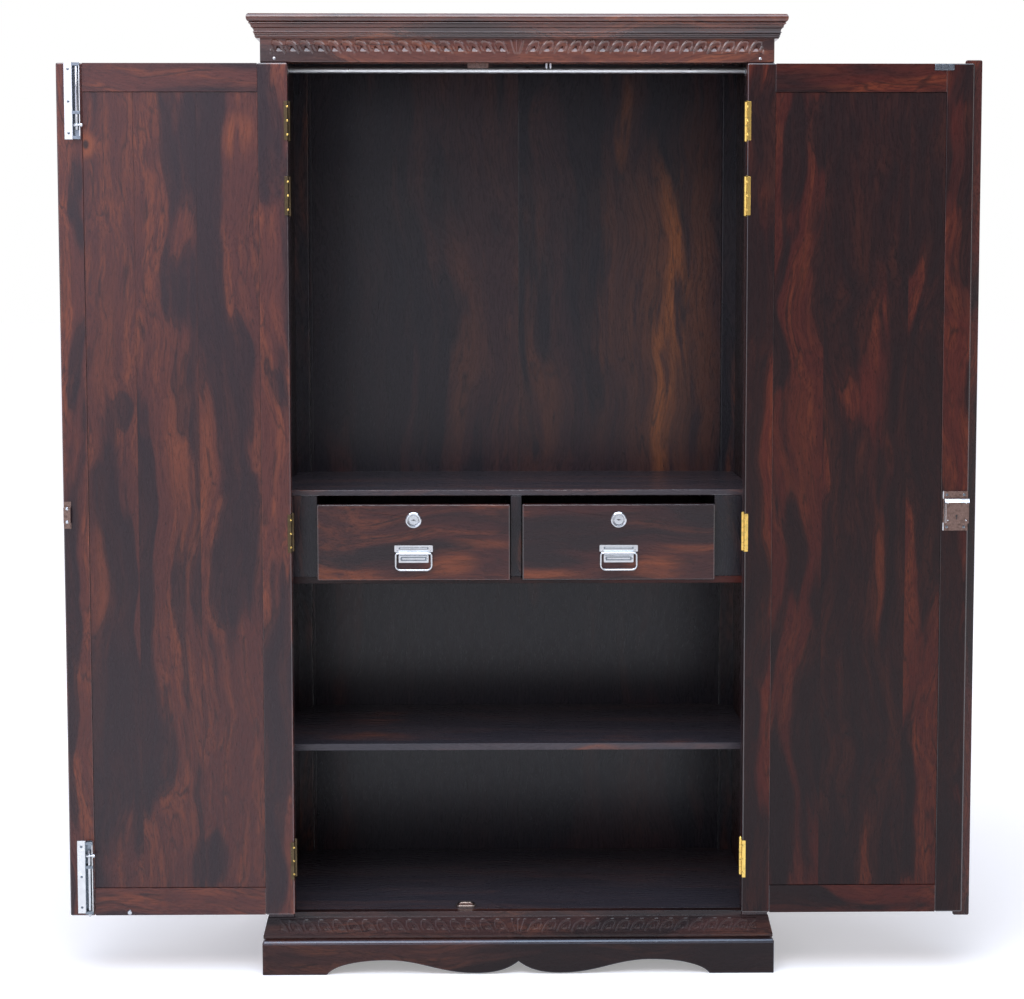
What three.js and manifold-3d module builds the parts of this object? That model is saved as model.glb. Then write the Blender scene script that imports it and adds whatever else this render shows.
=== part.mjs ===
// A two-door hardwood wardrobe: a post-and-panel carcass on a scalloped plinth, a hanging rod over a pair
// of small lockable drawers, and a lower shelf. Both doors are drawn folded right back against the front
// and the drawers stand a little way out. Millimetres, +Z up, front towards -Y.
import * as THREE from 'three';
import { mergeVertices } from 'three/addons/utils/BufferGeometryUtils.js';
import Module from 'manifold-3d';

const wasm = await Module();
wasm.setup();

// Driving dimensions. Y = 0 is the front face of the carcass until the whole is centred at the end.
const GAP = 0.3; // between pieces that touch
const OVERCUT = 1; // how far a cutting tool runs past what it cuts, or one joined piece into another
const HEIGHT = 1905;
const CARCASS = { halfWidth: 502, back: 512 };
const OPENING_HALF = 450.3; // half the clear width between the front posts
const PLINTH = { halfWidth: 513.5, front: -24, height: 70, board: 22, backOfFront: 23 };
const APRON = { footInner: 384, crestX: 265, crestZ: 29, troughX: 85, troughZ: 2, cuspZ: 26 };
const FRONT_POST_DEPTH = 45;
const BACK_POST = { inner: 450, front: 480 };
const SIDE_PANEL = { inner: 480, thickness: 12 };
const BACK_PANEL = { front: 495, thickness: 12 };
const FRIEZE = { bottom: 1813, top: 1859.7, depth: 40 };
const CORNICE_BOTTOM = 1860;
const CORNICE_SEAT = -4 + GAP; // how far inside the carcass's face the cornice sits on it
const TOP_BOARD_INSET = 4;
const BOTTOM_RAIL = { top: 122, depth: 20, skirtTop: 112.5, skirtThin: 1.5, skirtOut: 10.3, skirtFoot: 76 };
const BOARD = 18; // floor and top boards
const SHELF_BOARD = 14;
const DRAWER_SHELF = { top: 968, board: 12, front: 72 };
const DECK = { top: 792, board: 14 };
const DIVIDER = { left: -14, right: 7.5 };
const JAMB = { inner: { left: 404, right: 397.5 }, board: 18, wall: 12, shortOfPost: 10 };
const LOWER_SHELF = { top: 449, front: 75 };
const ROD = { y: 245, z: 1819.5, radius: 7, socketRadius: 15, socketDepth: 10, cupFloor: 2 };

const DOOR = {
  hingeEdge: 447.3, bottom: 126.5, top: 1808.5, thickness: 22, rail: 55, panelFront: 6, panelBack: 20,
};
const CLOSING_EDGE = { left: 0.6, right: 4.8 }; // from the centre line, with the doors shut
const HINGE_STILE = { left: 57.5, right: 54.5 };
const CLOSING_STILE = { left: 49.5, right: 54 };
const HINGE = {
  x: 447, y: -5, barrel: 4.5, leaf: 1.5, wrap: 7, length: 75, heights: [236, 892, 1553, 1698],
};
const ASTRAGAL = { lap: 19.4, width: 33, thickness: 8, above: 8.5, below: 13.5 };
const TOWER_BOLT = {
  fromEdge: 40.2, length: 147, flange: 17, plate: 1.5, channelWidth: 15, channelDepth: 11,
  wall: 1.5, slit: 4.4, rod: 3.5, axis: 6, tail: 18, knobAt: 120, knobPin: 1.8, knob: 3.2, knobReach: 11,
  knobLift: 0.5,
};
const BOLT_INSET = { top: 0, bottom: 5 }; // from the door's end to the case
const BOLT_HOLE = 5;
const RIM_LOCK = {
  fromEdge: 0.6, width: 50, bottom: 895.5, top: 974, flange: 1.5, bodyBottom: 911, bodyTop: 959,
  bodyInset: 2, depth: 13, wall: 1.5, boltBottom: 918, boltTop: 938, boltThickness: 4, boltLength: 38,
  boltGap: 0.7,
};
const KEEPER = { fromEdge: 1.6, width: 14, bottom: 903, top: 956, foot: 12, rise: 9, strap: 1.5 };

const DRAWER = {
  x: { left: -209, right: 202.5 }, ajar: 28, frontWidth: 386, bottom: 788, top: 941, front: 18,
  boxInset: 8, boxDepth: 372, boxBottom: 794.5, boxTop: 925, side: 11, floor: 6, floorLift: 5,
};
const REBATE = { beside: 2, depth: 19.5, bottom: 787 }; // in the deck's edge, under each drawer front
const DRAWER_LOCK = { z: 910, plug: 10, proud: 1.5, behind: 5, cam: 2.5, camWidth: 9, camReach: 54 };
const MORTISE = { near: 7, far: 32, depth: 10, height: 10 }; // in the drawer shelf, for the lock's cam
const HANDLE = {
  z: 843, standoff: 5.5, barrel: 4, bore: 2.4, barrelHalf: 30, plate: 1.5, topHalf: 38.5, top: 859,
  shoulder: 846, bottomHalf: 30, bottom: 824, bailHalf: 36, drop: 33.5, wire: 2.2, bend: 10,
  smallBend: 3.5, wireEnd: 22, boreDepth: 12, web: 2, webIn: 0.5,
};

const wood = (colour) => new THREE.MeshStandardMaterial({ color: colour, roughness: 0.3, metalness: 0 });
const metal = (colour) => new THREE.MeshStandardMaterial({ color: colour, roughness: 0.25, metalness: 1 });
const DARK_WOOD = wood(0x3a2320);
const CARCASS_WOOD = wood(0x2b1c1e);
const RED_WOOD = wood(0x6b3a30);
const CARVED_WOOD = wood(0x7a4b3a);
const ZINC = metal(0xb8babd);
const BRASS = metal(0xc9a24a);
const CHROME = metal(0xd4d7da);

const armoire = new THREE.Group();

function add(name, geometry, material, parent = armoire) {
  const mesh = new THREE.Mesh(geometry, material);
  mesh.name = name;
  parent.add(mesh);
  return mesh;
}

// A box given by its low and high corners.
function block([x0, y0, z0], [x1, y1, z1]) {
  return new THREE.BoxGeometry(x1 - x0, y1 - y0, z1 - z0)
    .translate((x0 + x1) / 2, (y0 + y1) / 2, (z0 + z1) / 2);
}

// A box whose x limits are given on the right-hand side and carried to either side by the sign.
function sideBlock(sign, [x0, y0, z0], [x1, y1, z1]) {
  const [low, high] = sign > 0 ? [x0, x1] : [-x1, -x0];
  return block([low, y0, z0], [high, y1, z1]);
}

function outline(points) {
  return new THREE.Shape(points.map(([a, b]) => new THREE.Vector2(a, b)));
}

// A plan outline in x and y, raised from z0 to z1.
function raise(shape, z0, z1) {
  return new THREE.ExtrudeGeometry(shape, { depth: z1 - z0, bevelEnabled: false, curveSegments: 12 })
    .translate(0, 0, z0);
}

// A front outline in x and z, carried back from y0 to y1.
function carryBack(shape, y0, y1) {
  return new THREE.ExtrudeGeometry(shape, { depth: y1 - y0, bevelEnabled: false, curveSegments: 12 })
    .rotateX(Math.PI / 2)
    .translate(0, y1, 0);
}

function circle(x, y, radius, sides = 20) {
  const points = [];
  for (let i = 0; i < sides; i += 1) {
    const angle = (2 * Math.PI * i) / sides;
    points.push([x + radius * Math.cos(angle), y + radius * Math.sin(angle)]);
  }
  return points;
}

function hole(shape, points) {
  shape.holes.push(new THREE.Path(points.map(([a, b]) => new THREE.Vector2(a, b))));
  return shape;
}

function cylinderX(radius, x0, x1, y, z, sides = 20) {
  return new THREE.CylinderGeometry(radius, radius, x1 - x0, sides)
    .rotateZ(Math.PI / 2)
    .translate((x0 + x1) / 2, y, z);
}

function cylinderY(radius, y0, y1, x, z, sides = 24) {
  return new THREE.CylinderGeometry(radius, radius, y1 - y0, sides).translate(x, (y0 + y1) / 2, z);
}

function cylinderZ(radius, z0, z1, x, y, sides = 16) {
  return new THREE.CylinderGeometry(radius, radius, z1 - z0, sides)
    .rotateX(Math.PI / 2)
    .translate(x, y, (z0 + z1) / 2);
}

function solid(geometry) {
  const bare = geometry.clone();
  bare.deleteAttribute('normal');
  bare.deleteAttribute('uv');
  const merged = mergeVertices(bare, 1e-4);
  return new wasm.Manifold(new wasm.Mesh({
    numProp: 3,
    vertProperties: new Float32Array(merged.attributes.position.array),
    triVerts: new Uint32Array(merged.index.array),
  }));
}

function surface(manifold) {
  const mesh = manifold.getMesh();
  const geometry = new THREE.BufferGeometry();
  geometry.setAttribute('position', new THREE.BufferAttribute(new Float32Array(mesh.vertProperties), 3));
  geometry.setIndex(new THREE.BufferAttribute(new Uint32Array(mesh.triVerts), 1));
  return geometry;
}

function join(...geometries) {
  return surface(geometries.map(solid).reduce((whole, piece) => whole.add(piece)));
}

function cut(geometry, ...tools) {
  return surface(tools.map(solid).reduce((whole, tool) => whole.subtract(tool), solid(geometry)));
}

// The crown moulding: one profile of [projection, height] taken round the front and both sides, mitred
// at the corners and closed at the two back ends.
function crown(profile, halfWidth, front, back) {
  const rings = [
    ([out, z]) => [-(halfWidth + out), back, z],
    ([out, z]) => [-(halfWidth + out), front - out, z],
    ([out, z]) => [halfWidth + out, front - out, z],
    ([out, z]) => [halfWidth + out, back, z],
  ].map((place) => profile.map(place));
  const count = profile.length;
  const index = [];
  for (let r = 0; r < rings.length - 1; r += 1) {
    for (let i = 0; i < count; i += 1) {
      const a = r * count + i;
      const b = r * count + ((i + 1) % count);
      index.push(a, a + count, b, b, a + count, b + count);
    }
  }
  const last = (rings.length - 1) * count;
  const flat = profile.map(([out, z]) => new THREE.Vector2(out, z));
  for (const [a, b, c] of THREE.ShapeUtils.triangulateShape(flat, [])) {
    index.push(a, b, c, last + a, last + c, last + b);
  }
  const geometry = new THREE.BufferGeometry();
  geometry.setAttribute('position', new THREE.Float32BufferAttribute(rings.flat(2), 3));
  geometry.setIndex(index);
  return geometry;
}

function buildCarcass() {
  const inner = SIDE_PANEL.inner - GAP;
  for (const [side, sign] of [['left', -1], ['right', 1]]) {
    add(`${side}_front_post`, sideBlock(
      sign,
      [OPENING_HALF, 0, PLINTH.height + GAP],
      [CARCASS.halfWidth, FRONT_POST_DEPTH, FRIEZE.bottom - GAP],
    ), CARCASS_WOOD);
    add(`${side}_back_post`, sideBlock(
      sign,
      [BACK_POST.inner, BACK_POST.front, PLINTH.height + GAP],
      [CARCASS.halfWidth, CARCASS.back, FRIEZE.top],
    ), CARCASS_WOOD);
    add(`${side}_side_panel`, sideBlock(
      sign,
      [SIDE_PANEL.inner, FRONT_POST_DEPTH + GAP, PLINTH.height + GAP],
      [SIDE_PANEL.inner + SIDE_PANEL.thickness, BACK_POST.front - GAP, FRIEZE.top],
    ), CARCASS_WOOD);
    add(`${side}_plinth_board`, sideBlock(
      sign,
      [PLINTH.halfWidth - PLINTH.board, PLINTH.backOfFront + GAP, 0],
      [PLINTH.halfWidth, CARCASS.back, PLINTH.height],
    ), CARVED_WOOD);
  }
  add('back_panel', block(
    [-BACK_POST.inner + GAP, BACK_PANEL.front, PLINTH.height + GAP],
    [BACK_POST.inner - GAP, BACK_PANEL.front + BACK_PANEL.thickness, FRIEZE.top],
  ), CARCASS_WOOD);
  const { skirtTop, skirtThin, skirtOut, skirtFoot } = BOTTOM_RAIL;
  const skirt = crown([
    [GAP, PLINTH.height + GAP], [skirtOut, PLINTH.height + GAP],
    [skirtOut, skirtFoot], [skirtThin, skirtTop], [GAP, skirtTop],
  ], CARCASS.halfWidth, 0, CARCASS.back);
  add('bottom_rail', join(skirt, block(
    [-OPENING_HALF + GAP, -OVERCUT, PLINTH.height + GAP],
    [OPENING_HALF - GAP, BOTTOM_RAIL.depth, skirtTop],
  ), block(
    [-OPENING_HALF + GAP, 0, skirtTop - OVERCUT],
    [OPENING_HALF - GAP, BOTTOM_RAIL.depth, BOTTOM_RAIL.top],
  )), CARVED_WOOD);
  add('floor_panel', raise(
    hole(outline([
      [-OPENING_HALF + GAP, BOTTOM_RAIL.depth + GAP],
      [OPENING_HALF - GAP, BOTTOM_RAIL.depth + GAP],
      [OPENING_HALF - GAP, FRONT_POST_DEPTH + GAP],
      [inner, FRONT_POST_DEPTH + GAP],
      [inner, BACK_POST.front - GAP],
      [BACK_POST.inner - GAP, BACK_POST.front - GAP],
      [BACK_POST.inner - GAP, BACK_PANEL.front - GAP],
      [-BACK_POST.inner + GAP, BACK_PANEL.front - GAP],
      [-BACK_POST.inner + GAP, BACK_POST.front - GAP],
      [-inner, BACK_POST.front - GAP],
      [-inner, FRONT_POST_DEPTH + GAP],
      [-OPENING_HALF + GAP, FRONT_POST_DEPTH + GAP],
    ]), circle(-boltX, boltY, BOLT_HOLE)),
    BOTTOM_RAIL.top - BOARD,
    BOTTOM_RAIL.top,
  ), CARCASS_WOOD);
  add('frieze_rail', raise(
    hole(outline([
      [-CARCASS.halfWidth, 0], [CARCASS.halfWidth, 0],
      [CARCASS.halfWidth, FRIEZE.depth], [-CARCASS.halfWidth, FRIEZE.depth],
    ]), circle(-boltX, boltY, BOLT_HOLE)),
    FRIEZE.bottom,
    FRIEZE.top,
  ), CARVED_WOOD);
  add('top_board', block(
    [-CARCASS.halfWidth + TOP_BOARD_INSET, TOP_BOARD_INSET, CORNICE_BOTTOM],
    [CARCASS.halfWidth - TOP_BOARD_INSET, CARCASS.back, CORNICE_BOTTOM + BOARD],
  ), CARCASS_WOOD);
  // Up from the bottom: a drip over the frieze, two reeds, a cove, a fascia and a thick rounded nosing.
  const z = CORNICE_BOTTOM;
  add('cornice', crown([
    [CORNICE_SEAT, z], [GAP, z], [GAP, z - 1.5],
    [7.5, z - 1.5], [8.2, z + 3], [9.6, z + 6.5], [9.8, z + 9.5], [11.8, z + 12.5], [12.4, z + 16],
    [15, z + 20.5], [16, z + 25], [20, z + 26], [23.5, z + 30], [24.4, z + 35], [23.8, z + 40],
    [21.5, z + 43.8], [18.5, HEIGHT], [CORNICE_SEAT, HEIGHT],
  ], CARCASS.halfWidth, 0, CARCASS.back), CARVED_WOOD);
}

function buildPlinthFront() {
  const { footInner, crestX, crestZ, troughX, troughZ, cuspZ } = APRON;
  const shape = new THREE.Shape();
  shape.moveTo(-PLINTH.halfWidth, 0);
  shape.lineTo(-footInner, 0);
  shape.bezierCurveTo(-footInner + 12, 18, -crestX - 60, crestZ, -crestX, crestZ);
  shape.bezierCurveTo(-crestX + 70, crestZ, -troughX - 75, troughZ, -troughX, troughZ);
  shape.bezierCurveTo(-troughX + 45, troughZ, -18, 12, 0, cuspZ);
  shape.bezierCurveTo(18, 12, troughX - 45, troughZ, troughX, troughZ);
  shape.bezierCurveTo(troughX + 75, troughZ, crestX - 70, crestZ, crestX, crestZ);
  shape.bezierCurveTo(crestX + 60, crestZ, footInner - 12, 18, footInner, 0);
  shape.lineTo(PLINTH.halfWidth, 0);
  shape.lineTo(PLINTH.halfWidth, PLINTH.height);
  shape.lineTo(-PLINTH.halfWidth, PLINTH.height);
  add('plinth_front', carryBack(shape, PLINTH.front, PLINTH.backOfFront), CARVED_WOOD);
}

// A full-width board that reaches the back panel between the back posts.
function notchedBoard(front, z0, z1) {
  const side = SIDE_PANEL.inner - GAP;
  const post = BACK_POST.inner - GAP;
  return raise(outline([
    [-side, front], [side, front],
    [side, BACK_POST.front - GAP], [post, BACK_POST.front - GAP],
    [post, BACK_PANEL.front - GAP], [-post, BACK_PANEL.front - GAP],
    [-post, BACK_POST.front - GAP], [-side, BACK_POST.front - GAP],
  ]), z0, z1);
}

function buildInterior() {
  const camY = DRAWER_SHELF.front + DRAWER.front + DRAWER_LOCK.behind - DRAWER_LOCK.cam / 2;
  const shelfBottom = DRAWER_SHELF.top - DRAWER_SHELF.board;
  const centres = Object.values(DRAWER.x);
  const mortises = centres.map((x) => block(
    [x - MORTISE.near, camY - MORTISE.depth / 2, shelfBottom - OVERCUT],
    [x + MORTISE.far, camY + MORTISE.depth / 2, shelfBottom + MORTISE.height],
  ));
  const reach = DRAWER.frontWidth / 2 + REBATE.beside;
  const rebates = centres.map((x) => block(
    [x - reach, DRAWER_SHELF.front - OVERCUT, REBATE.bottom],
    [x + reach, DRAWER_SHELF.front + REBATE.depth, DECK.top + OVERCUT],
  ));
  add('drawer_shelf', cut(
    notchedBoard(DRAWER_SHELF.front, shelfBottom, DRAWER_SHELF.top),
    ...mortises,
  ), DARK_WOOD);
  add('drawer_deck', cut(
    notchedBoard(DRAWER_SHELF.front, DECK.top - DECK.board, DECK.top),
    ...rebates,
  ), DARK_WOOD);
  add('drawer_divider', block(
    [DIVIDER.left, DRAWER_SHELF.front, DECK.top + GAP],
    [DIVIDER.right, BACK_POST.front - GAP, shelfBottom - GAP],
  ), DARK_WOOD);
  for (const [side, sign] of [['left', -1], ['right', 1]]) {
    const edge = SIDE_PANEL.inner - GAP;
    const inner = JAMB.inner[side];
    const back = BACK_POST.front - JAMB.shortOfPost;
    add(`${side}_drawer_jamb`, raise(outline([
      [sign * inner, DRAWER_SHELF.front],
      [sign * edge, DRAWER_SHELF.front],
      [sign * edge, DRAWER_SHELF.front + JAMB.board],
      [sign * (inner + JAMB.wall), DRAWER_SHELF.front + JAMB.board],
      [sign * (inner + JAMB.wall), back],
      [sign * inner, back],
    ]), DECK.top + GAP, shelfBottom - GAP), DARK_WOOD);
    // The cup's bore is open towards the rod and stops short of the wall.
    const face = edge - ROD.socketDepth;
    const span = (near, far) => (sign > 0 ? [near, far] : [-far, -near]);
    add(`${side}_rod_socket`, cut(
      cylinderX(ROD.socketRadius, ...span(face, edge), ROD.y, ROD.z),
      cylinderX(ROD.radius + GAP, ...span(face - OVERCUT, edge - ROD.cupFloor), ROD.y, ROD.z),
    ), CHROME);
  }
  const rodEnd = SIDE_PANEL.inner - GAP - ROD.cupFloor - 2 * GAP;
  add('hanging_rod', cylinderX(ROD.radius, -rodEnd, rodEnd, ROD.y, ROD.z), CHROME);
  add('lower_shelf', notchedBoard(
    LOWER_SHELF.front, LOWER_SHELF.top - SHELF_BOARD, LOWER_SHELF.top,
  ), DARK_WOOD);
}

// A door's group turns about its hinge line; inside it x runs from the hinge line towards the closing
// edge times the hand, y runs back from the hinge line, as when the door is shut.
function doorGroup(hand) {
  const group = new THREE.Group();
  group.position.set(-hand * HINGE.x, HINGE.y, 0);
  group.rotation.z = Math.PI;
  armoire.add(group);
  return group;
}

const fromHinge = (fromCentre) => HINGE.x - fromCentre; // reach of a point measured from the centre line
const doorFront = -HINGE.y;
const doorBack = doorFront + DOOR.thickness;

function buildDoor(side, hand, material) {
  const group = doorGroup(hand);
  const hingeEdge = fromHinge(DOOR.hingeEdge);
  const closingEdge = fromHinge(CLOSING_EDGE[side]);
  const hingeInner = hingeEdge + HINGE_STILE[side];
  const closingInner = closingEdge - CLOSING_STILE[side];
  const part = (name, x0, x1, y0, y1, z0, z1) => add(
    `${side}_door_${name}`, sideBlock(hand, [x0, y0, z0], [x1, y1, z1]), material, group,
  );
  part('closing_stile', closingInner, closingEdge, doorFront, doorBack, DOOR.bottom, DOOR.top);
  part('top_rail', hingeInner + GAP, closingInner - GAP, doorFront, doorBack,
    DOOR.top - DOOR.rail, DOOR.top);
  part('bottom_rail', hingeInner + GAP, closingInner - GAP, doorFront, doorBack,
    DOOR.bottom, DOOR.bottom + DOOR.rail);
  part('panel', hingeInner + GAP, closingInner - GAP,
    doorFront + DOOR.panelFront, doorFront + DOOR.panelBack,
    DOOR.bottom + DOOR.rail + GAP, DOOR.top - DOOR.rail - GAP);

  // The hinge stile is let in for each leaf.
  const recess = hingeEdge + HINGE.leaf + GAP;
  const edge = [[hingeInner, DOOR.bottom], [hingeEdge, DOOR.bottom]];
  for (const z of HINGE.heights) {
    const half = HINGE.length / 2 + GAP;
    edge.push([hingeEdge, z - half], [recess, z - half], [recess, z + half], [hingeEdge, z + half]);
  }
  edge.push([hingeEdge, DOOR.top], [hingeInner, DOOR.top]);
  add(`${side}_door_hinge_stile`,
    carryBack(outline(edge.map(([x, z]) => [hand * x, z])), doorFront, doorBack), material, group);

  // Each hinge leaf: a knuckle on the axis, a flat let into the door's edge, a strap on the inner face.
  const leafInner = hingeEdge + HINGE.leaf;
  const start = Math.atan2(Math.sqrt(HINGE.barrel ** 2 - leafInner ** 2), leafInner);
  const end = Math.atan2(Math.sqrt(HINGE.barrel ** 2 - hingeEdge ** 2), hingeEdge);
  const sides = 16;
  const section = [];
  for (let i = 0; i <= sides; i += 1) {
    const angle = end + ((start + 2 * Math.PI - end) * i) / sides;
    section.push([HINGE.barrel * Math.cos(angle), HINGE.barrel * Math.sin(angle)]);
  }
  section.push(
    [leafInner, doorBack + GAP], [hingeEdge + HINGE.wrap, doorBack + GAP],
    [hingeEdge + HINGE.wrap, doorBack + GAP + HINGE.leaf], [hingeEdge, doorBack + GAP + HINGE.leaf],
  );
  HINGE.heights.forEach((z, i) => add(
    `${side}_hinge_${i + 1}`,
    raise(outline(section.map(([x, y]) => [hand * x, y])), z - HINGE.length / 2, z + HINGE.length / 2),
    BRASS,
    group,
  ));
  return { group, closingEdge };
}

// A tower bolt standing on the door's inner face; up is +1 at the top of the door, -1 at the bottom.
function buildTowerBolt(place, up, door) {
  const x = door.closingEdge - TOWER_BOLT.fromEdge;
  const face = doorBack + GAP;
  const tip = up > 0 ? DOOR.top : DOOR.bottom;
  const end = tip - up * BOLT_INSET[place];
  const far = end - up * TOWER_BOLT.length;
  const half = TOWER_BOLT.channelWidth / 2;
  const lip = TOWER_BOLT.slit / 2;
  const { wall, plate, channelDepth } = TOWER_BOLT;
  const section = [
    [half + TOWER_BOLT.flange, 0], [half + TOWER_BOLT.flange, plate], [half, plate],
    [half, channelDepth], [lip, channelDepth], [lip, channelDepth - wall],
    [half - wall, channelDepth - wall], [half - wall, plate], [wall - half, plate],
    [wall - half, channelDepth - wall], [-lip, channelDepth - wall], [-lip, channelDepth],
    [-half, channelDepth], [-half, 0],
  ];
  add(`${place}_bolt_case`, raise(
    outline(section.map(([a, b]) => [x + a, face + b])), Math.min(end, far), Math.max(end, far),
  ), ZINC, door.group);

  const rodY = face + TOWER_BOLT.axis;
  const tail = far + up * TOWER_BOLT.tail;
  const knobZ = end - up * TOWER_BOLT.knobAt;
  const knobY = face + channelDepth + TOWER_BOLT.knob + TOWER_BOLT.knobLift;
  add(`${place}_bolt_rod`, join(
    cylinderZ(TOWER_BOLT.rod, Math.min(tip, tail), Math.max(tip, tail), x, rodY),
    cylinderY(TOWER_BOLT.knobPin, rodY, knobY, x, knobZ, 12),
    cylinderX(TOWER_BOLT.knob, x - TOWER_BOLT.knobReach, x + TOWER_BOLT.knob, knobY, knobZ, 16),
  ), ZINC, door.group);
}

function buildKeeper(door) {
  const face = doorBack + GAP;
  const x1 = door.closingEdge - KEEPER.fromEdge;
  const { bottom, top, foot, rise, strap } = KEEPER;
  const arch = outline([
    [face, bottom], [face + strap, bottom], [face + strap, bottom + foot - strap],
    [face + rise, bottom + foot - strap], [face + rise, top - foot + strap],
    [face + strap, top - foot + strap], [face + strap, top], [face, top], [face, top - foot],
    [face + rise - strap, top - foot], [face + rise - strap, bottom + foot], [face, bottom + foot],
  ]);
  const geometry = new THREE.ExtrudeGeometry(arch, { depth: KEEPER.width, bevelEnabled: false })
    .rotateX(Math.PI / 2)
    .rotateZ(Math.PI / 2)
    .translate(x1 - KEEPER.width, 0, 0);
  add('lock_keeper', geometry, ZINC, door.group);
}

function buildRimLock(door) {
  const face = doorBack + GAP;
  const near = door.closingEdge - RIM_LOCK.fromEdge;
  const far = near - RIM_LOCK.width;
  const { bottom, top, flange, bodyBottom, bodyTop, bodyInset, depth, wall } = RIM_LOCK;
  const box = (x0, x1, y0, y1, z0, z1) => sideBlock(-1, [x0, y0, z0], [x1, y1, z1]);
  const boltY = face + flange + RIM_LOCK.boltGap;
  add('rim_lock_case', cut(
    join(
      box(far, near, face, face + flange, bottom, top),
      box(far + bodyInset, near, face, face + depth, bodyBottom, bodyTop),
    ),
    box(far + bodyInset + wall, near + OVERCUT, face + flange, face + depth - wall, bodyBottom + wall, bodyTop - wall),
  ), ZINC, door.group);
  add('rim_lock_bolt', box(
    near - RIM_LOCK.boltLength, near - GAP, boltY, boltY + RIM_LOCK.boltThickness,
    RIM_LOCK.boltBottom, RIM_LOCK.boltTop,
  ), ZINC, door.group);
}

function buildAstragal(door) {
  const edge = door.closingEdge + ASTRAGAL.lap;
  add('astragal', sideBlock(
    -1,
    [edge - ASTRAGAL.width, doorFront - GAP - ASTRAGAL.thickness, DOOR.bottom - ASTRAGAL.below],
    [edge, doorFront - GAP, DOOR.top + ASTRAGAL.above],
  ), DARK_WOOD, door.group);
}

// The bail: a wire bent to a U whose two ends turn inwards into the handle's barrel.
function bailGeometry(x, y) {
  const { bailHalf, drop, z, bend, smallBend, wireEnd, wire } = HANDLE;
  const low = z - drop;
  const path = new THREE.CurvePath();
  const at = (px, pz) => new THREE.Vector3(x + px, y, pz);
  const straight = (a, b) => path.add(new THREE.LineCurve3(a, b));
  const round = (a, b, c) => path.add(new THREE.QuadraticBezierCurve3(a, b, c));
  straight(at(-wireEnd, z), at(-bailHalf + smallBend, z));
  round(at(-bailHalf + smallBend, z), at(-bailHalf, z), at(-bailHalf, z - smallBend));
  straight(at(-bailHalf, z - smallBend), at(-bailHalf, low + bend));
  round(at(-bailHalf, low + bend), at(-bailHalf, low), at(-bailHalf + bend, low));
  straight(at(-bailHalf + bend, low), at(bailHalf - bend, low));
  round(at(bailHalf - bend, low), at(bailHalf, low), at(bailHalf, low + bend));
  straight(at(bailHalf, low + bend), at(bailHalf, z - smallBend));
  round(at(bailHalf, z - smallBend), at(bailHalf, z), at(bailHalf - smallBend, z));
  straight(at(bailHalf - smallBend, z), at(wireEnd, z));
  return new THREE.ExtrudeGeometry(outline(circle(0, 0, wire, 8)), { steps: 64, extrudePath: path });
}

function buildDrawer(side) {
  const x = DRAWER.x[side];
  const face = DRAWER_SHELF.front - DRAWER.ajar;
  const half = DRAWER.frontWidth / 2;
  const back = face + DRAWER.front;
  const front = hole(
    outline([
      [x - half, -DRAWER.bottom], [x + half, -DRAWER.bottom],
      [x + half, -DRAWER.top], [x - half, -DRAWER.top],
    ].map(([a, b]) => [a, -b])),
    circle(x, DRAWER_LOCK.z, DRAWER_LOCK.plug + GAP, 24),
  );
  add(`${side}_drawer_front`, carryBack(front, face, back), RED_WOOD);

  const boxHalf = half - DRAWER.boxInset;
  const y0 = back + GAP;
  const y1 = y0 + DRAWER.boxDepth;
  add(`${side}_drawer_box`, cut(
    block([x - boxHalf, y0, DRAWER.boxBottom], [x + boxHalf, y1, DRAWER.boxTop]),
    block(
      [x - boxHalf + DRAWER.side, y0 - OVERCUT, DRAWER.boxBottom + DRAWER.floorLift + DRAWER.floor],
      [x + boxHalf - DRAWER.side, y1 - DRAWER.side, DRAWER.boxTop + OVERCUT],
    ),
  ), DARK_WOOD);

  const { plug, proud, behind, cam, camWidth, camReach } = DRAWER_LOCK;
  const camBack = back + behind;
  add(`${side}_drawer_lock`, join(
    cylinderY(plug, face - proud, camBack, x, DRAWER_LOCK.z),
    block([x, camBack - cam, DRAWER_LOCK.z - camWidth / 2],
      [x + camReach, camBack, DRAWER_LOCK.z + camWidth / 2]),
  ), CHROME);

  const plateFace = face - GAP;
  const plateFront = plateFace - HANDLE.plate;
  const axisY = face - HANDLE.standoff;
  const plateOutline = outline([
    [x - HANDLE.bottomHalf, HANDLE.bottom], [x + HANDLE.bottomHalf, HANDLE.bottom],
    [x + HANDLE.bottomHalf, HANDLE.shoulder], [x + HANDLE.topHalf, HANDLE.shoulder],
    [x + HANDLE.topHalf, HANDLE.top], [x - HANDLE.topHalf, HANDLE.top],
    [x - HANDLE.topHalf, HANDLE.shoulder], [x - HANDLE.bottomHalf, HANDLE.shoulder],
  ]);
  const left = x - HANDLE.barrelHalf;
  const right = x + HANDLE.barrelHalf;
  add(`${side}_handle_plate`, cut(
    join(
      carryBack(plateOutline, plateFront, plateFace),
      cylinderX(HANDLE.barrel, left, right, axisY, HANDLE.z, 16),
      block([left, axisY, HANDLE.z - HANDLE.web], [right, plateFront + HANDLE.webIn, HANDLE.z + HANDLE.web]),
    ),
    cylinderX(HANDLE.bore, left - OVERCUT, left + HANDLE.boreDepth, axisY, HANDLE.z, 16),
    cylinderX(HANDLE.bore, right - HANDLE.boreDepth, right + OVERCUT, axisY, HANDLE.z, 16),
  ), ZINC);
  add(`${side}_handle_bail`, bailGeometry(x, axisY), CHROME);
}

const boltX = CLOSING_EDGE.left + TOWER_BOLT.fromEdge;
const boltY = DOOR.thickness + GAP + TOWER_BOLT.axis;

buildCarcass();
buildPlinthFront();
buildInterior();

const leftDoor = buildDoor('left', 1, RED_WOOD);
buildTowerBolt('top', 1, leftDoor);
buildTowerBolt('bottom', -1, leftDoor);
buildKeeper(leftDoor);

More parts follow.
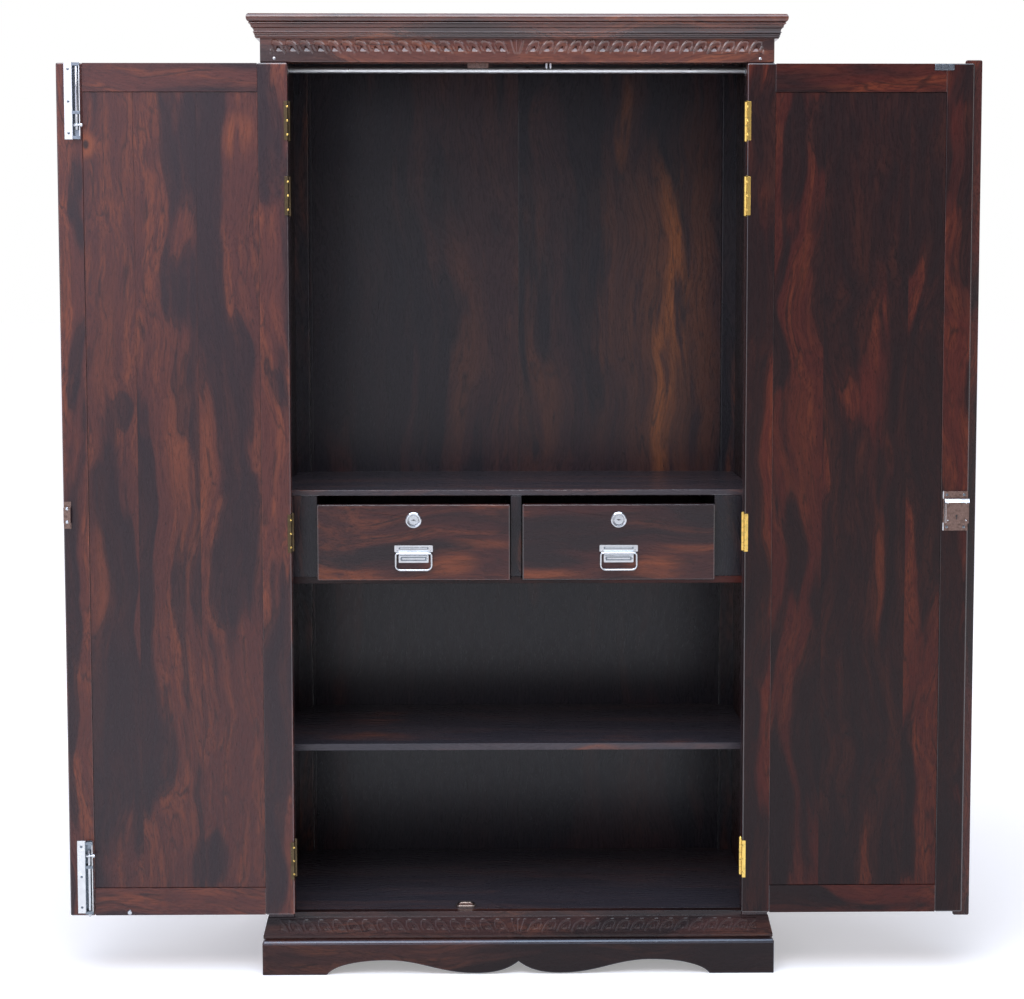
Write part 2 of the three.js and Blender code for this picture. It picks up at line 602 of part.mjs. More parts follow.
const rightDoor = buildDoor('right', -1, DARK_WOOD);
buildRimLock(rightDoor);
buildAstragal(rightDoor);

buildDrawer('left');
buildDrawer('right');

// Centre the whole over its footprint, front to back.
armoire.updateMatrixWorld(true);
const bounds = new THREE.Box3().setFromObject(armoire);
armoire.position.y = -Math.round((bounds.min.y + bounds.max.y) / 2);

export default armoire;
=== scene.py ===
"""Looks of a two-door hardwood wardrobe: stained sheesham, carving, brass hinges, bright steel locks."""
import bpy
import bmesh
import math
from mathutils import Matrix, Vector


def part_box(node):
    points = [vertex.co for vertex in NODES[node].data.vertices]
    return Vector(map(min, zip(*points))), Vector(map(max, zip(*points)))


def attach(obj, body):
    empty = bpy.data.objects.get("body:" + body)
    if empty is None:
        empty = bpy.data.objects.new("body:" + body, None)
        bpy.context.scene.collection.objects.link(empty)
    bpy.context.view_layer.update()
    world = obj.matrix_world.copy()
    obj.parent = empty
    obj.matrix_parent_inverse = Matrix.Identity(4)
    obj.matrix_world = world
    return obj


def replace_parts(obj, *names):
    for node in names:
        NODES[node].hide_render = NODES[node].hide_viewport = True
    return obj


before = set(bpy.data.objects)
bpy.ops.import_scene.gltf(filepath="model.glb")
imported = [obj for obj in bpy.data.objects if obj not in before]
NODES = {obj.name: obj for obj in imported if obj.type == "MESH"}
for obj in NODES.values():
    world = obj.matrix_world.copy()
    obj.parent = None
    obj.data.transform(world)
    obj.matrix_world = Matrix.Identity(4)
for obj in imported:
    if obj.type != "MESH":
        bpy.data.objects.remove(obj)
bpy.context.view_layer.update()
MM = 0.001  # shapes are in millimetres; the shaders, lights and camera are in metres
SIDES = (("left", -1), ("right", 1))  # the sign of X on each side


# ---------------------------------------------------------------- places taken from the frame

def box(node):
    """Lowest and highest corner of a CAD node, as two Vectors in millimetres."""
    low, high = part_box(node)
    return Vector(low) / MM, Vector(high) / MM


FRONT = box("frieze_rail")[0].y  # the carcass's front plane
HINGE_X, HINGE_Y = 447, FRONT - 5  # the doors' hinge axes, at either side
OUT = (0, -1, 0)  # towards whoever stands in front of the open cabinet
OUTER_FACE = box("left_door_hinge_stile")[1].y


# ---------------------------------------------------------------- shader helpers

class Nodes:
    """A small front for building one material's node tree."""

    def __init__(self, name):
        self.material = bpy.data.materials.new(name)
        self.material.use_nodes = True
        self.tree = self.material.node_tree
        self.shader = self.tree.nodes["Principled BSDF"]

    def add(self, kind, inputs=(), **settings):
        node = self.tree.nodes.new(kind)
        for key, value in settings.items():
            setattr(node, key, value)
        for key, value in dict(inputs).items():
            self.feed(node, key, value)
        return node

    def feed(self, node, key, value):
        socket = node.inputs[key]
        if hasattr(value, "is_output"):
            self.tree.links.new(value, socket)
        else:
            socket.default_value = value

    def math(self, operation, a, b=0.0, c=0.0, clamp=False):
        node = self.add("ShaderNodeMath", {0: a, 1: b, 2: c}, operation=operation, use_clamp=clamp)
        return node.outputs[0]

    def times(self, a, b):
        return self.math("MULTIPLY", a, b)

    def vector(self, operation, a, b):
        return self.add("ShaderNodeVectorMath", {0: a, 1: b}, operation=operation).outputs[0]

    def length(self, a):
        return self.add("ShaderNodeVectorMath", {0: a}, operation="LENGTH").outputs["Value"]

    def noise(self, coords, scale, detail=4.0, roughness=0.55, distortion=0.0):
        node = self.add("ShaderNodeTexNoise", {
            "Vector": coords, "Scale": scale, "Detail": detail, "Roughness": roughness,
            "Distortion": distortion,
        })
        return node.outputs["Fac"]

    def ramp(self, value, low, high):
        """0 below low, 1 above high, smooth between."""
        node = self.add("ShaderNodeMapRange", {
            "Value": value, "From Min": low, "From Max": high, "To Min": 0.0, "To Max": 1.0,
        }, interpolation_type="SMOOTHSTEP")
        return node.outputs["Result"]

    def remap(self, value, low, high, to_low, to_high):
        node = self.add("ShaderNodeMapRange", {
            "Value": value, "From Min": low, "From Max": high, "To Min": to_low, "To Max": to_high,
        })
        return node.outputs["Result"]

    def blend(self, factor, a, b, mode="MIX"):
        node = self.tree.nodes.new("ShaderNodeMix")
        node.data_type = "RGBA"
        node.blend_type = mode
        for index, value in ((0, factor), (6, a), (7, b)):
            if hasattr(value, "is_output"):
                self.tree.links.new(value, node.inputs[index])
            else:
                node.inputs[index].default_value = value if index == 0 else (*value, 1.0)
        return node.outputs[2]

    def bump(self, height, distance, strength=1.0):
        node = self.add("ShaderNodeBump", {"Height": height, "Distance": distance, "Strength": strength})
        self.feed(self.shader, "Normal", node.outputs["Normal"])

    def surface(self, **values):
        for key, value in values.items():
            self.feed(self.shader, key.replace("_", " "), value)
        return self.material


GRAIN = {"z": (1.0, 1.0, 0.085), "x": (0.085, 1.0, 1.0), "y": (1.0, 0.085, 1.0)}
GLOSS = 0.36


def wood(name, tones, grain="z", shift=(0.0, 0.0, 0.0), black=0.5, boards=None, knots=(), glows=(),
         shades=(), gloss=GLOSS, rough=0.27, warm=0.5, tint=(1.0, 1.0, 1.0)):
    """Stained sheesham: near-black heartwood zones with crisp wavy edges, growth lines that follow them,
    warm streaks, fibres, open pores and lacquer.

    tones are the stain's dark, middle and light. black moves the share of dark zones, 0.5 for about half.
    boards is (width, phase, seam) for a panel glued up from planks across X. knots are (x, z, radius), and
    glows are (x, z, half width, half height, strength) where the wood shows warm: thin stain on the boards,
    and painted highlights on the lower shelf's front edge and the astragal's top; warm is how strongly the
    light streaks show elsewhere. shades are like glows, where heartwood gathers.
    tint colours the lacquer's shine. Places and sizes are in metres, as the shader sees them.
    """
    n = Nodes(name)
    dark, mid, light = tones
    spot = n.add("ShaderNodeTexCoord").outputs["Object"]
    place = n.vector("ADD", spot, shift)
    seam = None
    if boards:
        width, phase, line = boards
        x = n.add("ShaderNodeSeparateXYZ", {0: spot}).outputs[0]
        across = n.math("DIVIDE", n.math("ADD", x, phase), width)
        plank = n.add("ShaderNodeTexWhiteNoise", {"W": n.math("FLOOR", across)}, noise_dimensions="1D")
        place = n.vector("ADD", place, n.vector("MULTIPLY", plank.outputs["Color"], (0.3, 1.0, 2.3)))
        seam = n.ramp(n.math("PINGPONG", across, 0.5), line / width, 0.0)

    def wobble(scale, reach, source):
        swing = n.add("ShaderNodeTexNoise", {"Vector": source, "Scale": scale, "Detail": 2.0})
        offset = n.vector("SUBTRACT", swing.outputs["Color"], (0.5, 0.5, 0.5))
        return n.vector("ADD", source, n.vector("MULTIPLY", offset, (reach, reach, reach)))

    warped = wobble(11.0, 0.011, wobble(2.1, 0.15, place))
    pulls = []
    for x, z, radius in knots:
        away = n.vector("MULTIPLY", n.vector("SUBTRACT", spot, (x, 0.0, z)), (1.0, 0.0, 0.7))
        reach = n.length(away)
        pull = n.times(n.ramp(reach, radius * 4.0, 0.0), 1.6)
        push = n.add("ShaderNodeVectorMath", {0: away, "Scale": pull}, operation="SCALE").outputs[0]
        warped = n.vector("ADD", warped, push)
        pulls.append((reach, radius))
    along = n.vector("MULTIPLY", warped, GRAIN[grain])
    drift = n.vector("SUBTRACT", warped, place)
    roam = n.vector("ADD", spot, n.vector("MULTIPLY", drift, (0.9, 0.9, 0.9)))

    def patch(x, z, half_width, half_height, strength):
        away = n.vector("MULTIPLY", n.vector("SUBTRACT", roam, (x, 0.0, z)),
                        (1 / half_width, 0.0, 1 / half_height))
        reach = n.length(away)
        return n.times(n.ramp(reach, 1.3, 0.3), strength)

    figure = n.noise(along, 9.0, 4.0, 0.52, 0.3)
    lines = n.noise(along, 36.0, 3.0, 0.6, 0.4)
    fine = n.noise(along, 260.0, 3.0, 0.7)
    pores = n.noise(n.vector("MULTIPLY", place, GRAIN[grain]), 1000.0, 2.0, 0.6)

    warmth = n.times(n.times(n.ramp(lines, 0.42, 0.7), n.ramp(fine, 0.25, 0.62)), warm)
    gather = 0.0
    for place_of_glow in glows:
        glow = patch(*place_of_glow)
        warmth = n.math("MAXIMUM", warmth, n.times(glow, n.ramp(lines, 0.28, 0.56)))
        gather = n.math("MULTIPLY_ADD", glow, -0.10, gather)
    for place_of_shade in shades:
        gather = n.math("ADD", patch(*place_of_shade), gather)
    if glows or shades:
        figure = n.math("MULTIPLY_ADD", gather, -0.15, figure)
    tone = n.blend(warmth, mid, light)
    centre = 0.42 + 0.16 * black
    zone = n.ramp(figure, centre + 0.045, centre - 0.045)
    shade = n.times(zone, n.remap(lines, 0.35, 0.65, 0.97, 0.8))
    tone = n.blend(shade, tone, dark)
    ring = n.math("PINGPONG", n.times(figure, 13.0), 0.5)
    growth = n.times(n.ramp(ring, 0.13, 0.0), n.ramp(lines, 0.36, 0.6))
    tone = n.blend(n.times(growth, 0.65), tone, tuple(c * 0.7 for c in dark))
    tone = n.blend(n.remap(fine, 0.32, 0.66, 0.34, 0.0), tone, tuple(c * 0.8 for c in dark))
    tone = n.blend(n.ramp(pores, 0.6, 0.7), tone, tuple(c * 0.5 for c in dark))
    for reach, radius in pulls:
        halo = n.times(n.ramp(reach, radius * 3.0, radius), 0.8)
        tone = n.blend(halo, tone, light)
        tone = n.blend(n.times(n.ramp(reach, radius, radius * 0.4), 0.9), tone,
                       tuple(c * 0.5 for c in dark))
    if boards:
        value = n.add("ShaderNodeSeparateColor", {0: plank.outputs["Color"]}).outputs[0]
        tone = n.blend(n.times(value, 0.35), tone, dark)
        tone = n.blend(n.times(seam, 0.8), tone, tuple(c * 0.3 for c in dark))
    height = n.math("ADD", n.times(fine, 0.5), n.times(pores, -0.6))
    if boards:
        height = n.math("SUBTRACT", height, n.times(seam, 2.0))
    n.bump(height, 0.0002, 0.5)
    return n.surface(Base_Color=tone, Roughness=n.remap(fine, 0.3, 0.75, rough - 0.03, rough + 0.06),
                     Specular_IOR_Level=gloss, Specular_Tint=(*tint, 1.0))


def metal(name, colour, rough, metallic=1.0, grime=0.25, scale=60.0):
    """Plated or solid metal with faint scratches, smudges and darker patches."""
    n = Nodes(name)
    place = n.add("ShaderNodeTexCoord").outputs["Object"]
    smudge = n.noise(place, scale, 4.0, 0.6)
    scratch = n.noise(n.vector("MULTIPLY", place, (1.0, 1.0, 0.06)), 1500.0, 2.0, 0.5)
    patch = n.times(n.ramp(smudge, 0.45, 0.7), grime)
    tone = n.blend(patch, colour, tuple(c * 0.45 for c in colour))
    n.bump(n.math("ADD", n.times(scratch, 0.4), smudge), 0.00012, 0.5)
    return n.surface(Base_Color=tone, Metallic=metallic,
                     Roughness=n.remap(smudge, 0.3, 0.7, rough * 0.75, rough * 1.35))


def pale_ground():
    """White paper that glows: painted light, emission 0.3 near the cabinet rising to 0.7 further away, so
    that it runs into the white room.
    """
    n = Nodes("pale_floor")
    place = n.add("ShaderNodeTexCoord").outputs["Object"]
    away = n.length(place)
    soft = n.noise(place, 0.8, 2.0, 0.5)
    tone = n.blend(n.remap(soft, 0.3, 0.7, 0.0, 0.04), (0.86, 0.86, 0.865), (0.8, 0.8, 0.8))
    n.feed(n.shader, "Emission Strength", n.remap(away, 0.9, 5.0, 0.30, 0.7))
    return n.surface(Base_Color=tone, Emission_Color=(1.0, 1.0, 1.0, 1.0), Roughness=0.85,
                     Specular_IOR_Level=0.1)


# POST's tones and RED's dark tone lean blue-grey: painted reflection of the bluish sky on the lacquer, over
# the wood's own colour.
RED = ((0.0145, 0.0076, 0.0108), (0.0690, 0.0184, 0.0152), (0.2150, 0.0530, 0.0190))
BROWN = ((0.0085, 0.0044, 0.0050), (0.0520, 0.0092, 0.0066), (0.1500, 0.0320, 0.0100))
POST = ((0.0210, 0.0160, 0.0205), (0.0430, 0.0260, 0.0300), (0.1000, 0.0440, 0.0320))
BACK = ((0.0092, 0.0083, 0.0120), (0.0270, 0.0128, 0.0150), (0.2400, 0.0720, 0.0200))
NIGHT = ((0.0092, 0.0083, 0.0120), (0.0150, 0.0112, 0.0142), (0.1850, 0.0470, 0.0140))
FLOOR = ((0.0300, 0.0270, 0.0340), (0.0430, 0.0350, 0.0410), (0.2000, 0.0560, 0.0200))
WARM = ((0.0220, 0.0088, 0.0075), (0.0900, 0.0270, 0.0180), (0.2200, 0.0640, 0.0240))
RAISED = ((0.0190, 0.0078, 0.0072), (0.0740, 0.0210, 0.0140), (0.2200, 0.0620, 0.0220))
SHADE = ((0.0100, 0.0056, 0.0062), (0.0400, 0.0150, 0.0130), (0.1200, 0.0380, 0.0170))
DRAWER_RED = ((0.0105, 0.0058, 0.0075), (0.0345, 0.0098, 0.0098), (0.1800, 0.0440, 0.0150))

ZINC = metal("zinc_plate", (0.56, 0.59, 0.62), 0.24, grime=0.25)
STEEL = metal("bright_steel", (0.56, 0.58, 0.60), 0.13, grime=0.2)
BOLT_PLATE = metal("bolt_plate", (0.66, 0.67, 0.67), 0.3, grime=0.12)
GREY_STEEL = metal("grey_steel", (0.20, 0.23, 0.26), 0.25, grime=0.5, scale=160.0)
OLD_STEEL = metal("tarnished_steel", (0.20, 0.135, 0.115), 0.30, grime=0.75, scale=190.0)
BRASS = metal("brass", (0.80, 0.55, 0.15), 0.2, grime=0.35, scale=110.0)
# Painted shade: the same brass as the right hinges, darkened where the left hinges reflect darker
# surroundings.
SHADED_BRASS = metal("brass_painted_shade", (0.100, 0.074, 0.042), 0.32, grime=0.6, scale=110.0)
WORN_STEEL = metal("worn_steel", (0.50, 0.41, 0.35), 0.36, grime=0.4, scale=160.0)
ROD_STEEL = metal("rod_steel", (0.66, 0.67, 0.67), 0.36, grime=0.1)
# Painted shade: black for screw slots, keyholes, keyways and the gaps between hinge knuckles, where there is
# only shadow.
RECESS_SHADE = metal("painted_recess_shade", (0.01, 0.01, 0.012), 0.6, metallic=0.0)
SHEEN = {"gloss": 1.0, "rough": 0.16}  # edges that catch the light


# ---------------------------------------------------------------- geometry helpers

def new_object(name, data):
    made = bpy.data.objects.new(name, data)
    bpy.context.scene.collection.objects.link(made)
    return made


def make_piece(name, mesh, materials, body, sharp_angle):
    """Turns a bmesh into an object with smooth faces and sharp corners that rides on a body."""
    data = bpy.data.meshes.new(name)
    mesh.to_mesh(data)
    mesh.free()
    data.shade_smooth()
    data.set_sharp_from_angle(angle=math.radians(sharp_angle))
    for material in materials:
        data.materials.append(material)
    piece = new_object(name, data)
    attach(piece, body)
    return piece


class Kit:
    """Collects simple solids, in millimetres, into one piece that rides on a body."""

    def __init__(self, name, body, *materials):
        self.name, self.body, self.materials = name, body, materials
        self.mesh = bmesh.new()

    def _vert(self, spot):
        return self.mesh.verts.new(Vector(spot) * MM)

    def _face(self, corners, slot):
        try:
            face = self.mesh.faces.new(corners)
        except ValueError:
            return
        face.material_index = slot

    def prism(self, outline, place, depth, slot=0):
        """An outline of (a, b) points, put in space by place(a, b, 0 or depth)."""
        rings = [[self._vert(place(a, b, d)) for a, b in outline] for d in (0.0, depth)]
        self._face(rings[0][::-1], slot)
        self._face(rings[1], slot)
        for i in range(len(outline)):
            j = (i + 1) % len(outline)
            self._face((rings[0][i], rings[0][j], rings[1][j], rings[1][i]), slot)

    def block(self, low, high, slot=0):
        low, high = Vector(low), Vector(high)
        corners = [(low.x, low.z), (high.x, low.z), (high.x, high.z), (low.x, high.z)]
        self.prism(corners, lambda a, b, d: Vector((a, low.y + d, b)), high.y - low.y, slot)

    def turned(self, profile, origin, axis, sides=32, slot=0):
        """A profile of (radius, height) turned about axis through origin; ends on the axis are closed."""
        turn = Vector((0, 0, 1)).rotation_difference(Vector(axis).normalized())
        rings = []
        for radius, height in profile:
            if radius < 1e-7:
                rings.append([self._vert(Vector(origin) + turn @ Vector((0, 0, height)))])
                continue
            ring = []
            for i in range(sides):
                angle = 2 * math.pi * i / sides
                spot = Vector((radius * math.cos(angle), radius * math.sin(angle), height))
                ring.append(self._vert(Vector(origin) + turn @ spot))
            rings.append(ring)
        for lower, upper in zip(rings, rings[1:]):
            for i in range(sides):
                j = (i + 1) % sides
                if len(lower) == 1 and len(upper) > 1:
                    self._face((lower[0], upper[j], upper[i]), slot)
                elif len(upper) == 1 and len(lower) > 1:
                    self._face((lower[i], lower[j], upper[0]), slot)
                elif len(lower) > 1:
                    self._face((lower[i], lower[j], upper[j], upper[i]), slot)

    def screw(self, origin, axis, radius, slot=0, dark=1, turn=0.4):
        """A countersunk head standing slightly proud, with its slot as a dark bar: painted shade."""
        head = [(0, -0.3), (1, -0.3), (1, 0.0), (0.93, 0.14), (0.6, 0.26), (0, 0.32)]
        self.turned([(r * radius, h * radius) for r, h in head], origin, axis, 20, slot)
        axis = Vector(axis).normalized()
        side = axis.orthogonal().normalized()
        side = (math.cos(turn) * side + math.sin(turn) * axis.cross(side)).normalized()
        up = axis.cross(side)
        half = radius * 0.8
        thin = radius * 0.13
        corners = [(-half, -thin), (half, -thin), (half, thin), (-half, thin)]
        base = Vector(origin) + axis * radius * 0.1
        self.prism(corners, lambda a, b, d: base + side * a + up * b + axis * d, radius * 0.24, dark)

    def done(self, bevel=0.0, segments=2):
        bmesh.ops.recalc_face_normals(self.mesh, faces=self.mesh.faces)
        piece = make_piece(self.name, self.mesh, self.materials, self.body, 32)
        if bevel:
            soften(piece, bevel * MM, segments)
        return piece


def soften(piece, width, segments=2, angle=30):
    """Eases every sharp edge, as sanding and lacquer do."""
    bevel = piece.modifiers.new("eased edges", "BEVEL")
    bevel.width = width
    bevel.segments = segments
    bevel.limit_method = "ANGLE"
    bevel.angle_limit = math.radians(angle)
    bevel.harden_normals = False
    return bevel


def wire(name, body, points, radius, material):
    """A round wire or rod along a list of points."""
    curve = bpy.data.curves.new(name, "CURVE")
    curve.dimensions = "3D"
    curve.bevel_depth = radius * MM
    curve.bevel_resolution = 5
    curve.use_fill_caps = True
    spline = curve.splines.new("POLY")
    spline.points.add(len(points) - 1)
    for target, spot in zip(spline.points, points):
        target.co = (*(c * MM for c in spot), 1.0)
    spline.use_smooth = True
    curve.materials.append(material)
    piece = new_object(name, curve)
    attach(piece, body)
    return piece


def paint(node, material, ease=0.9, outer=None, radius=0.0, arris=None):
    """Gives a CAD node its material and eases its sharp edges, more where outer(edge's middle) is true.

    ease and radius are the two widths in millimetres. arris is a second material, for the rounded edges
    alone, where the lacquer catches the light.
    """
    piece = NODES[node]
    data = piece.data
    data.materials.clear()
    data.materials.append(material)
    if not ease:
        return
    widest = radius if outer else ease

    def key(*corners):
        return tuple(sorted(tuple(round(c, 6) for c in corner) for corner in corners))

    shape = bmesh.new()
    shape.from_mesh(data)
    bmesh.ops.remove_doubles(shape, verts=shape.verts, dist=1e-6)
    weights = {}
    for edge in shape.edges:
        if edge.calc_face_angle(0.0) > math.radians(30):
            spot = (edge.verts[0].co + edge.verts[1].co) / 2 / MM
            weights[key(edge.verts[0].co, edge.verts[1].co)] = 1.0 if outer and outer(spot) else ease / widest
    shape.free()
    attribute = data.attributes.new("bevel_weight_edge", "FLOAT", "EDGE")
    corners = [vertex.co for vertex in data.vertices]
    attribute.data.foreach_set("value", [weights.get(key(corners[e.vertices[0]], corners[e.vertices[1]]), 0.0)
                                         for e in data.edges])
    weld = piece.modifiers.new("joined faces", "WELD")
    weld.merge_threshold = 1e-6
    bevel = soften(piece, widest * MM, 7 if outer else 3)
    bevel.limit_method = "WEIGHT"
    bevel.use_clamp_overlap = False
    if arris:
        data.materials.append(arris)
        bevel.material = 1


# ---------------------------------------------------------------- camera and studio

def build_studio():
    camera_data = bpy.data.cameras.new("camera")
    camera_data.lens = 79.05
    camera_data.sensor_width = 36.0
    camera_data.shift_x = -0.0169
    camera_data.shift_y = -0.0374
    camera = new_object("camera", camera_data)
    camera.location = (-0.0426, FRONT * MM - 4.438, 1.405)
    camera.rotation_euler = (math.pi / 2 - 0.0839, 0.0005, -0.0147)
    bpy.context.scene.camera = camera

    world = bpy.data.worlds.new("studio")
    bpy.context.scene.world = world
    world.use_nodes = True
    tree = world.node_tree
    room = tree.nodes["Background"]
    room.inputs["Color"].default_value = (0.85, 0.83, 1.0, 1.0)
    sky = tree.nodes.new("ShaderNodeTexCoord")
    across = tree.nodes.new("ShaderNodeSeparateXYZ")
    fade = tree.nodes.new("ShaderNodeMapRange")
    for socket, value in (("From Min", -0.7), ("From Max", 0.5), ("To Min", 0.60), ("To Max", 0.27)):
        fade.inputs[socket].default_value = value
    tree.links.new(sky.outputs["Generated"], across.inputs[0])
    tree.links.new(across.outputs["X"], fade.inputs["Value"])
    tree.links.new(fade.outputs["Result"], room.inputs["Strength"])
    paper = tree.nodes.new("ShaderNodeBackground")
    paper.inputs["Color"].default_value = (1.0, 1.0, 1.0, 1.0)
    seen = tree.nodes.new("ShaderNodeLightPath")
    choose = tree.nodes.new("ShaderNodeMixShader")
    tree.links.new(seen.outputs["Is Camera Ray"], choose.inputs[0])
    tree.links.new(room.outputs[0], choose.inputs[1])
    tree.links.new(paper.outputs[0], choose.inputs[2])
    tree.links.new(choose.outputs[0], tree.nodes["World Output"].inputs["Surface"])

    def lamp(name, place, target, size, power, colour):
        data = bpy.data.lights.new(name, "AREA")
        data.shape = "RECTANGLE"
        data.size, data.size_y = size
        data.energy = power
        data.color = colour
        light = new_object(name, data)
        light.location = place
        direction = Vector(target) - Vector(place)
        light.rotation_euler = direction.to_track_quat("-Z", "Y").to_euler()

    lamp("sky_light", (-0.3, -2.0, 4.4), (-0.1, 0.2, 0.6), (4.6, 2.8), 190, (0.74, 0.85, 1.0))
    lamp("front_light", (-0.6, -3.6, 3.6), (0, 0, 1.0), (2.4, 1.2), 60, (1.0, 0.95, 0.95))
    lamp("left_light", (-2.9, -6.4, 2.3), (0, 0, 1.0), (3.4, 2.6), 50, (0.84, 0.86, 1.0))
    lamp("right_light", (3.4, -5.0, 2.0), (0, 0, 0.9), (1.2, 1.8), 18, (1.0, 0.92, 0.86))
    lamp("back_light", (0.5, 4.2, 3.2), (0, 0, 1.0), (3.0, 2.0), 60, (1.0, 1.0, 1.0))

    kit = bmesh.new()
    bmesh.ops.create_circle(kit, cap_ends=True, segments=96, radius=60.0)
    data = bpy.data.meshes.new("floor")
    kit.to_mesh(data)
    kit.free()
    data.materials.append(pale_ground())
    new_object("floor", data)
    view = bpy.context.scene.view_settings
    view.view_transform = "Standard"
    view.look = "None"


# ---------------------------------------------------------------- wood

def paint_carcass():
    paint("top_board", wood("top_wood", SHADE, "x", (0.9, 0.3, 0)))
    paint("bottom_rail", wood("bottom_rail_wood", SHADE, "x", (2.2, 0, 0)))
    top = box("plinth_front")[1].z
    front = box("plinth_front")[0].y
    # The plinth's arris has its shine tinted blue: painted colour of the sky it reflects.
    paint("plinth_front", wood("plinth_wood", SHADE, "x", (3.1, 0, 0.4), gloss=0.22),
          1.4, lambda p: p.z > top - 1 and p.y < front + 30, 8.5,
          wood("plinth_arris", SHADE, "x", (3.1, 0, 0.4), gloss=1.0, rough=0.28, tint=(0.72, 0.84, 1.0)))
    for side, shift in (("left", 1.3), ("right", 2.9)):
        paint(f"{side}_front_post", wood(f"{side}_post_wood", POST, "z", (shift, 0, 0), black=0.4), 2.0)
        paint(f"{side}_back_post", wood(f"{side}_back_post_wood", NIGHT, "z", (shift, 1, 0)), 1.5)
        paint(f"{side}_side_panel", wood(f"{side}_panel_side_wood", SHADE, "z", (0, shift, 0)))
        outer = max(abs(corner.x) for corner in box(f"{side}_plinth_board"))
        paint(f"{side}_plinth_board", wood(f"{side}_plinth_wood", SHADE, "y", (0, shift, 0)),
              1.4, lambda p: p.z > top - 1 and abs(p.x) > outer - 1, 5.5)
    glows = ((0.352, 1.42, 0.042, 0.30, 1.0), (0.320, 1.13, 0.032, 0.22, 1.0), (0.35, 1.32, 0.15, 0.55, 0.30),
             (0.17, 1.38, 0.06, 0.36, 0.26), (0.03, 1.22, 0.05, 0.42, 0.20), (-0.13, 1.22, 0.045, 0.32, 0.14),
             (0.24, 1.72, 0.02, 0.10, 0.6))
    shades = ((0.33, 1.30, 0.16, 0.60, -0.9), (0.02, 1.30, 0.20, 0.55, -0.5), (-0.28, 1.35, 0.16, 0.65, 0.8),
              (0.0, 0.45, 0.60, 0.40, 0.8))
    paint("back_panel", wood("back_wood", BACK, "z", (0, 0, 0.7), boards=(0.45, -0.0065, 0.0012),
                             glows=glows, shades=shades, warm=0.10, gloss=0.34))
    paint("floor_panel", wood("floor_wood", FLOOR, "x", (4.0, 0, 0), warm=0.15))


def paint_interior():
    paint("drawer_shelf", wood("shelf_wood", FLOOR, "x", (5.0, 0, 0), warm=0.3), 1.8,
          arris=wood("shelf_arris", FLOOR, "x", (5.0, 0, 0), **SHEEN))
    paint("drawer_deck", wood("deck_wood", BROWN, "x", (5.6, 0, 0), black=0.3, gloss=0.25), 1.2)
    paint("drawer_divider", wood("divider_wood", NIGHT, "z", (5.1, 0, 0)))
    # Painted highlights: warm glows along the lower shelf's front edge, where it catches the light.
    middle = box("lower_shelf")[0].z * MM + 0.004
    glows = tuple((x, middle, 0.10, 0.008, strength)
                  for x, strength in ((-0.30, 0.5), (-0.06, 0.9), (0.18, 0.8), (0.36, 0.6)))
    paint("lower_shelf", wood("lower_shelf_wood", FLOOR, "x", (6.2, 0, 0), glows=glows, warm=0.15), 1.4)
    for side, shift in (("left", 0.4), ("right", 1.9)):
        paint(f"{side}_drawer_jamb", wood(f"{side}_jamb_wood", NIGHT, "z", (shift, 0, 0)))
        low, high = (corner * MM for corner in box(f"{side}_drawer_front"))
        x = (low.x + high.x) / 2
        glows = ((x - 0.16, low.z + 0.02, 0.12, 0.02, 0.8), (x + 0.08, low.z + 0.035, 0.06, 0.03, 0.8),
                 (x + 0.14, low.z + 0.075, 0.09, 0.012, 0.5))
        paint(f"{side}_drawer_front",
              wood(f"{side}_drawer_wood", DRAWER_RED, "x", (shift, 0, 0.3), black=0.25, glows=glows,
                   warm=0.4), 2.2,
              arris=wood(f"{side}_drawer_arris", DRAWER_RED, "x", (shift, 0, 0.3), **SHEEN))
        paint(f"{side}_drawer_box", wood(f"{side}_box_wood", SHADE, "y", (shift, 0, 0)))


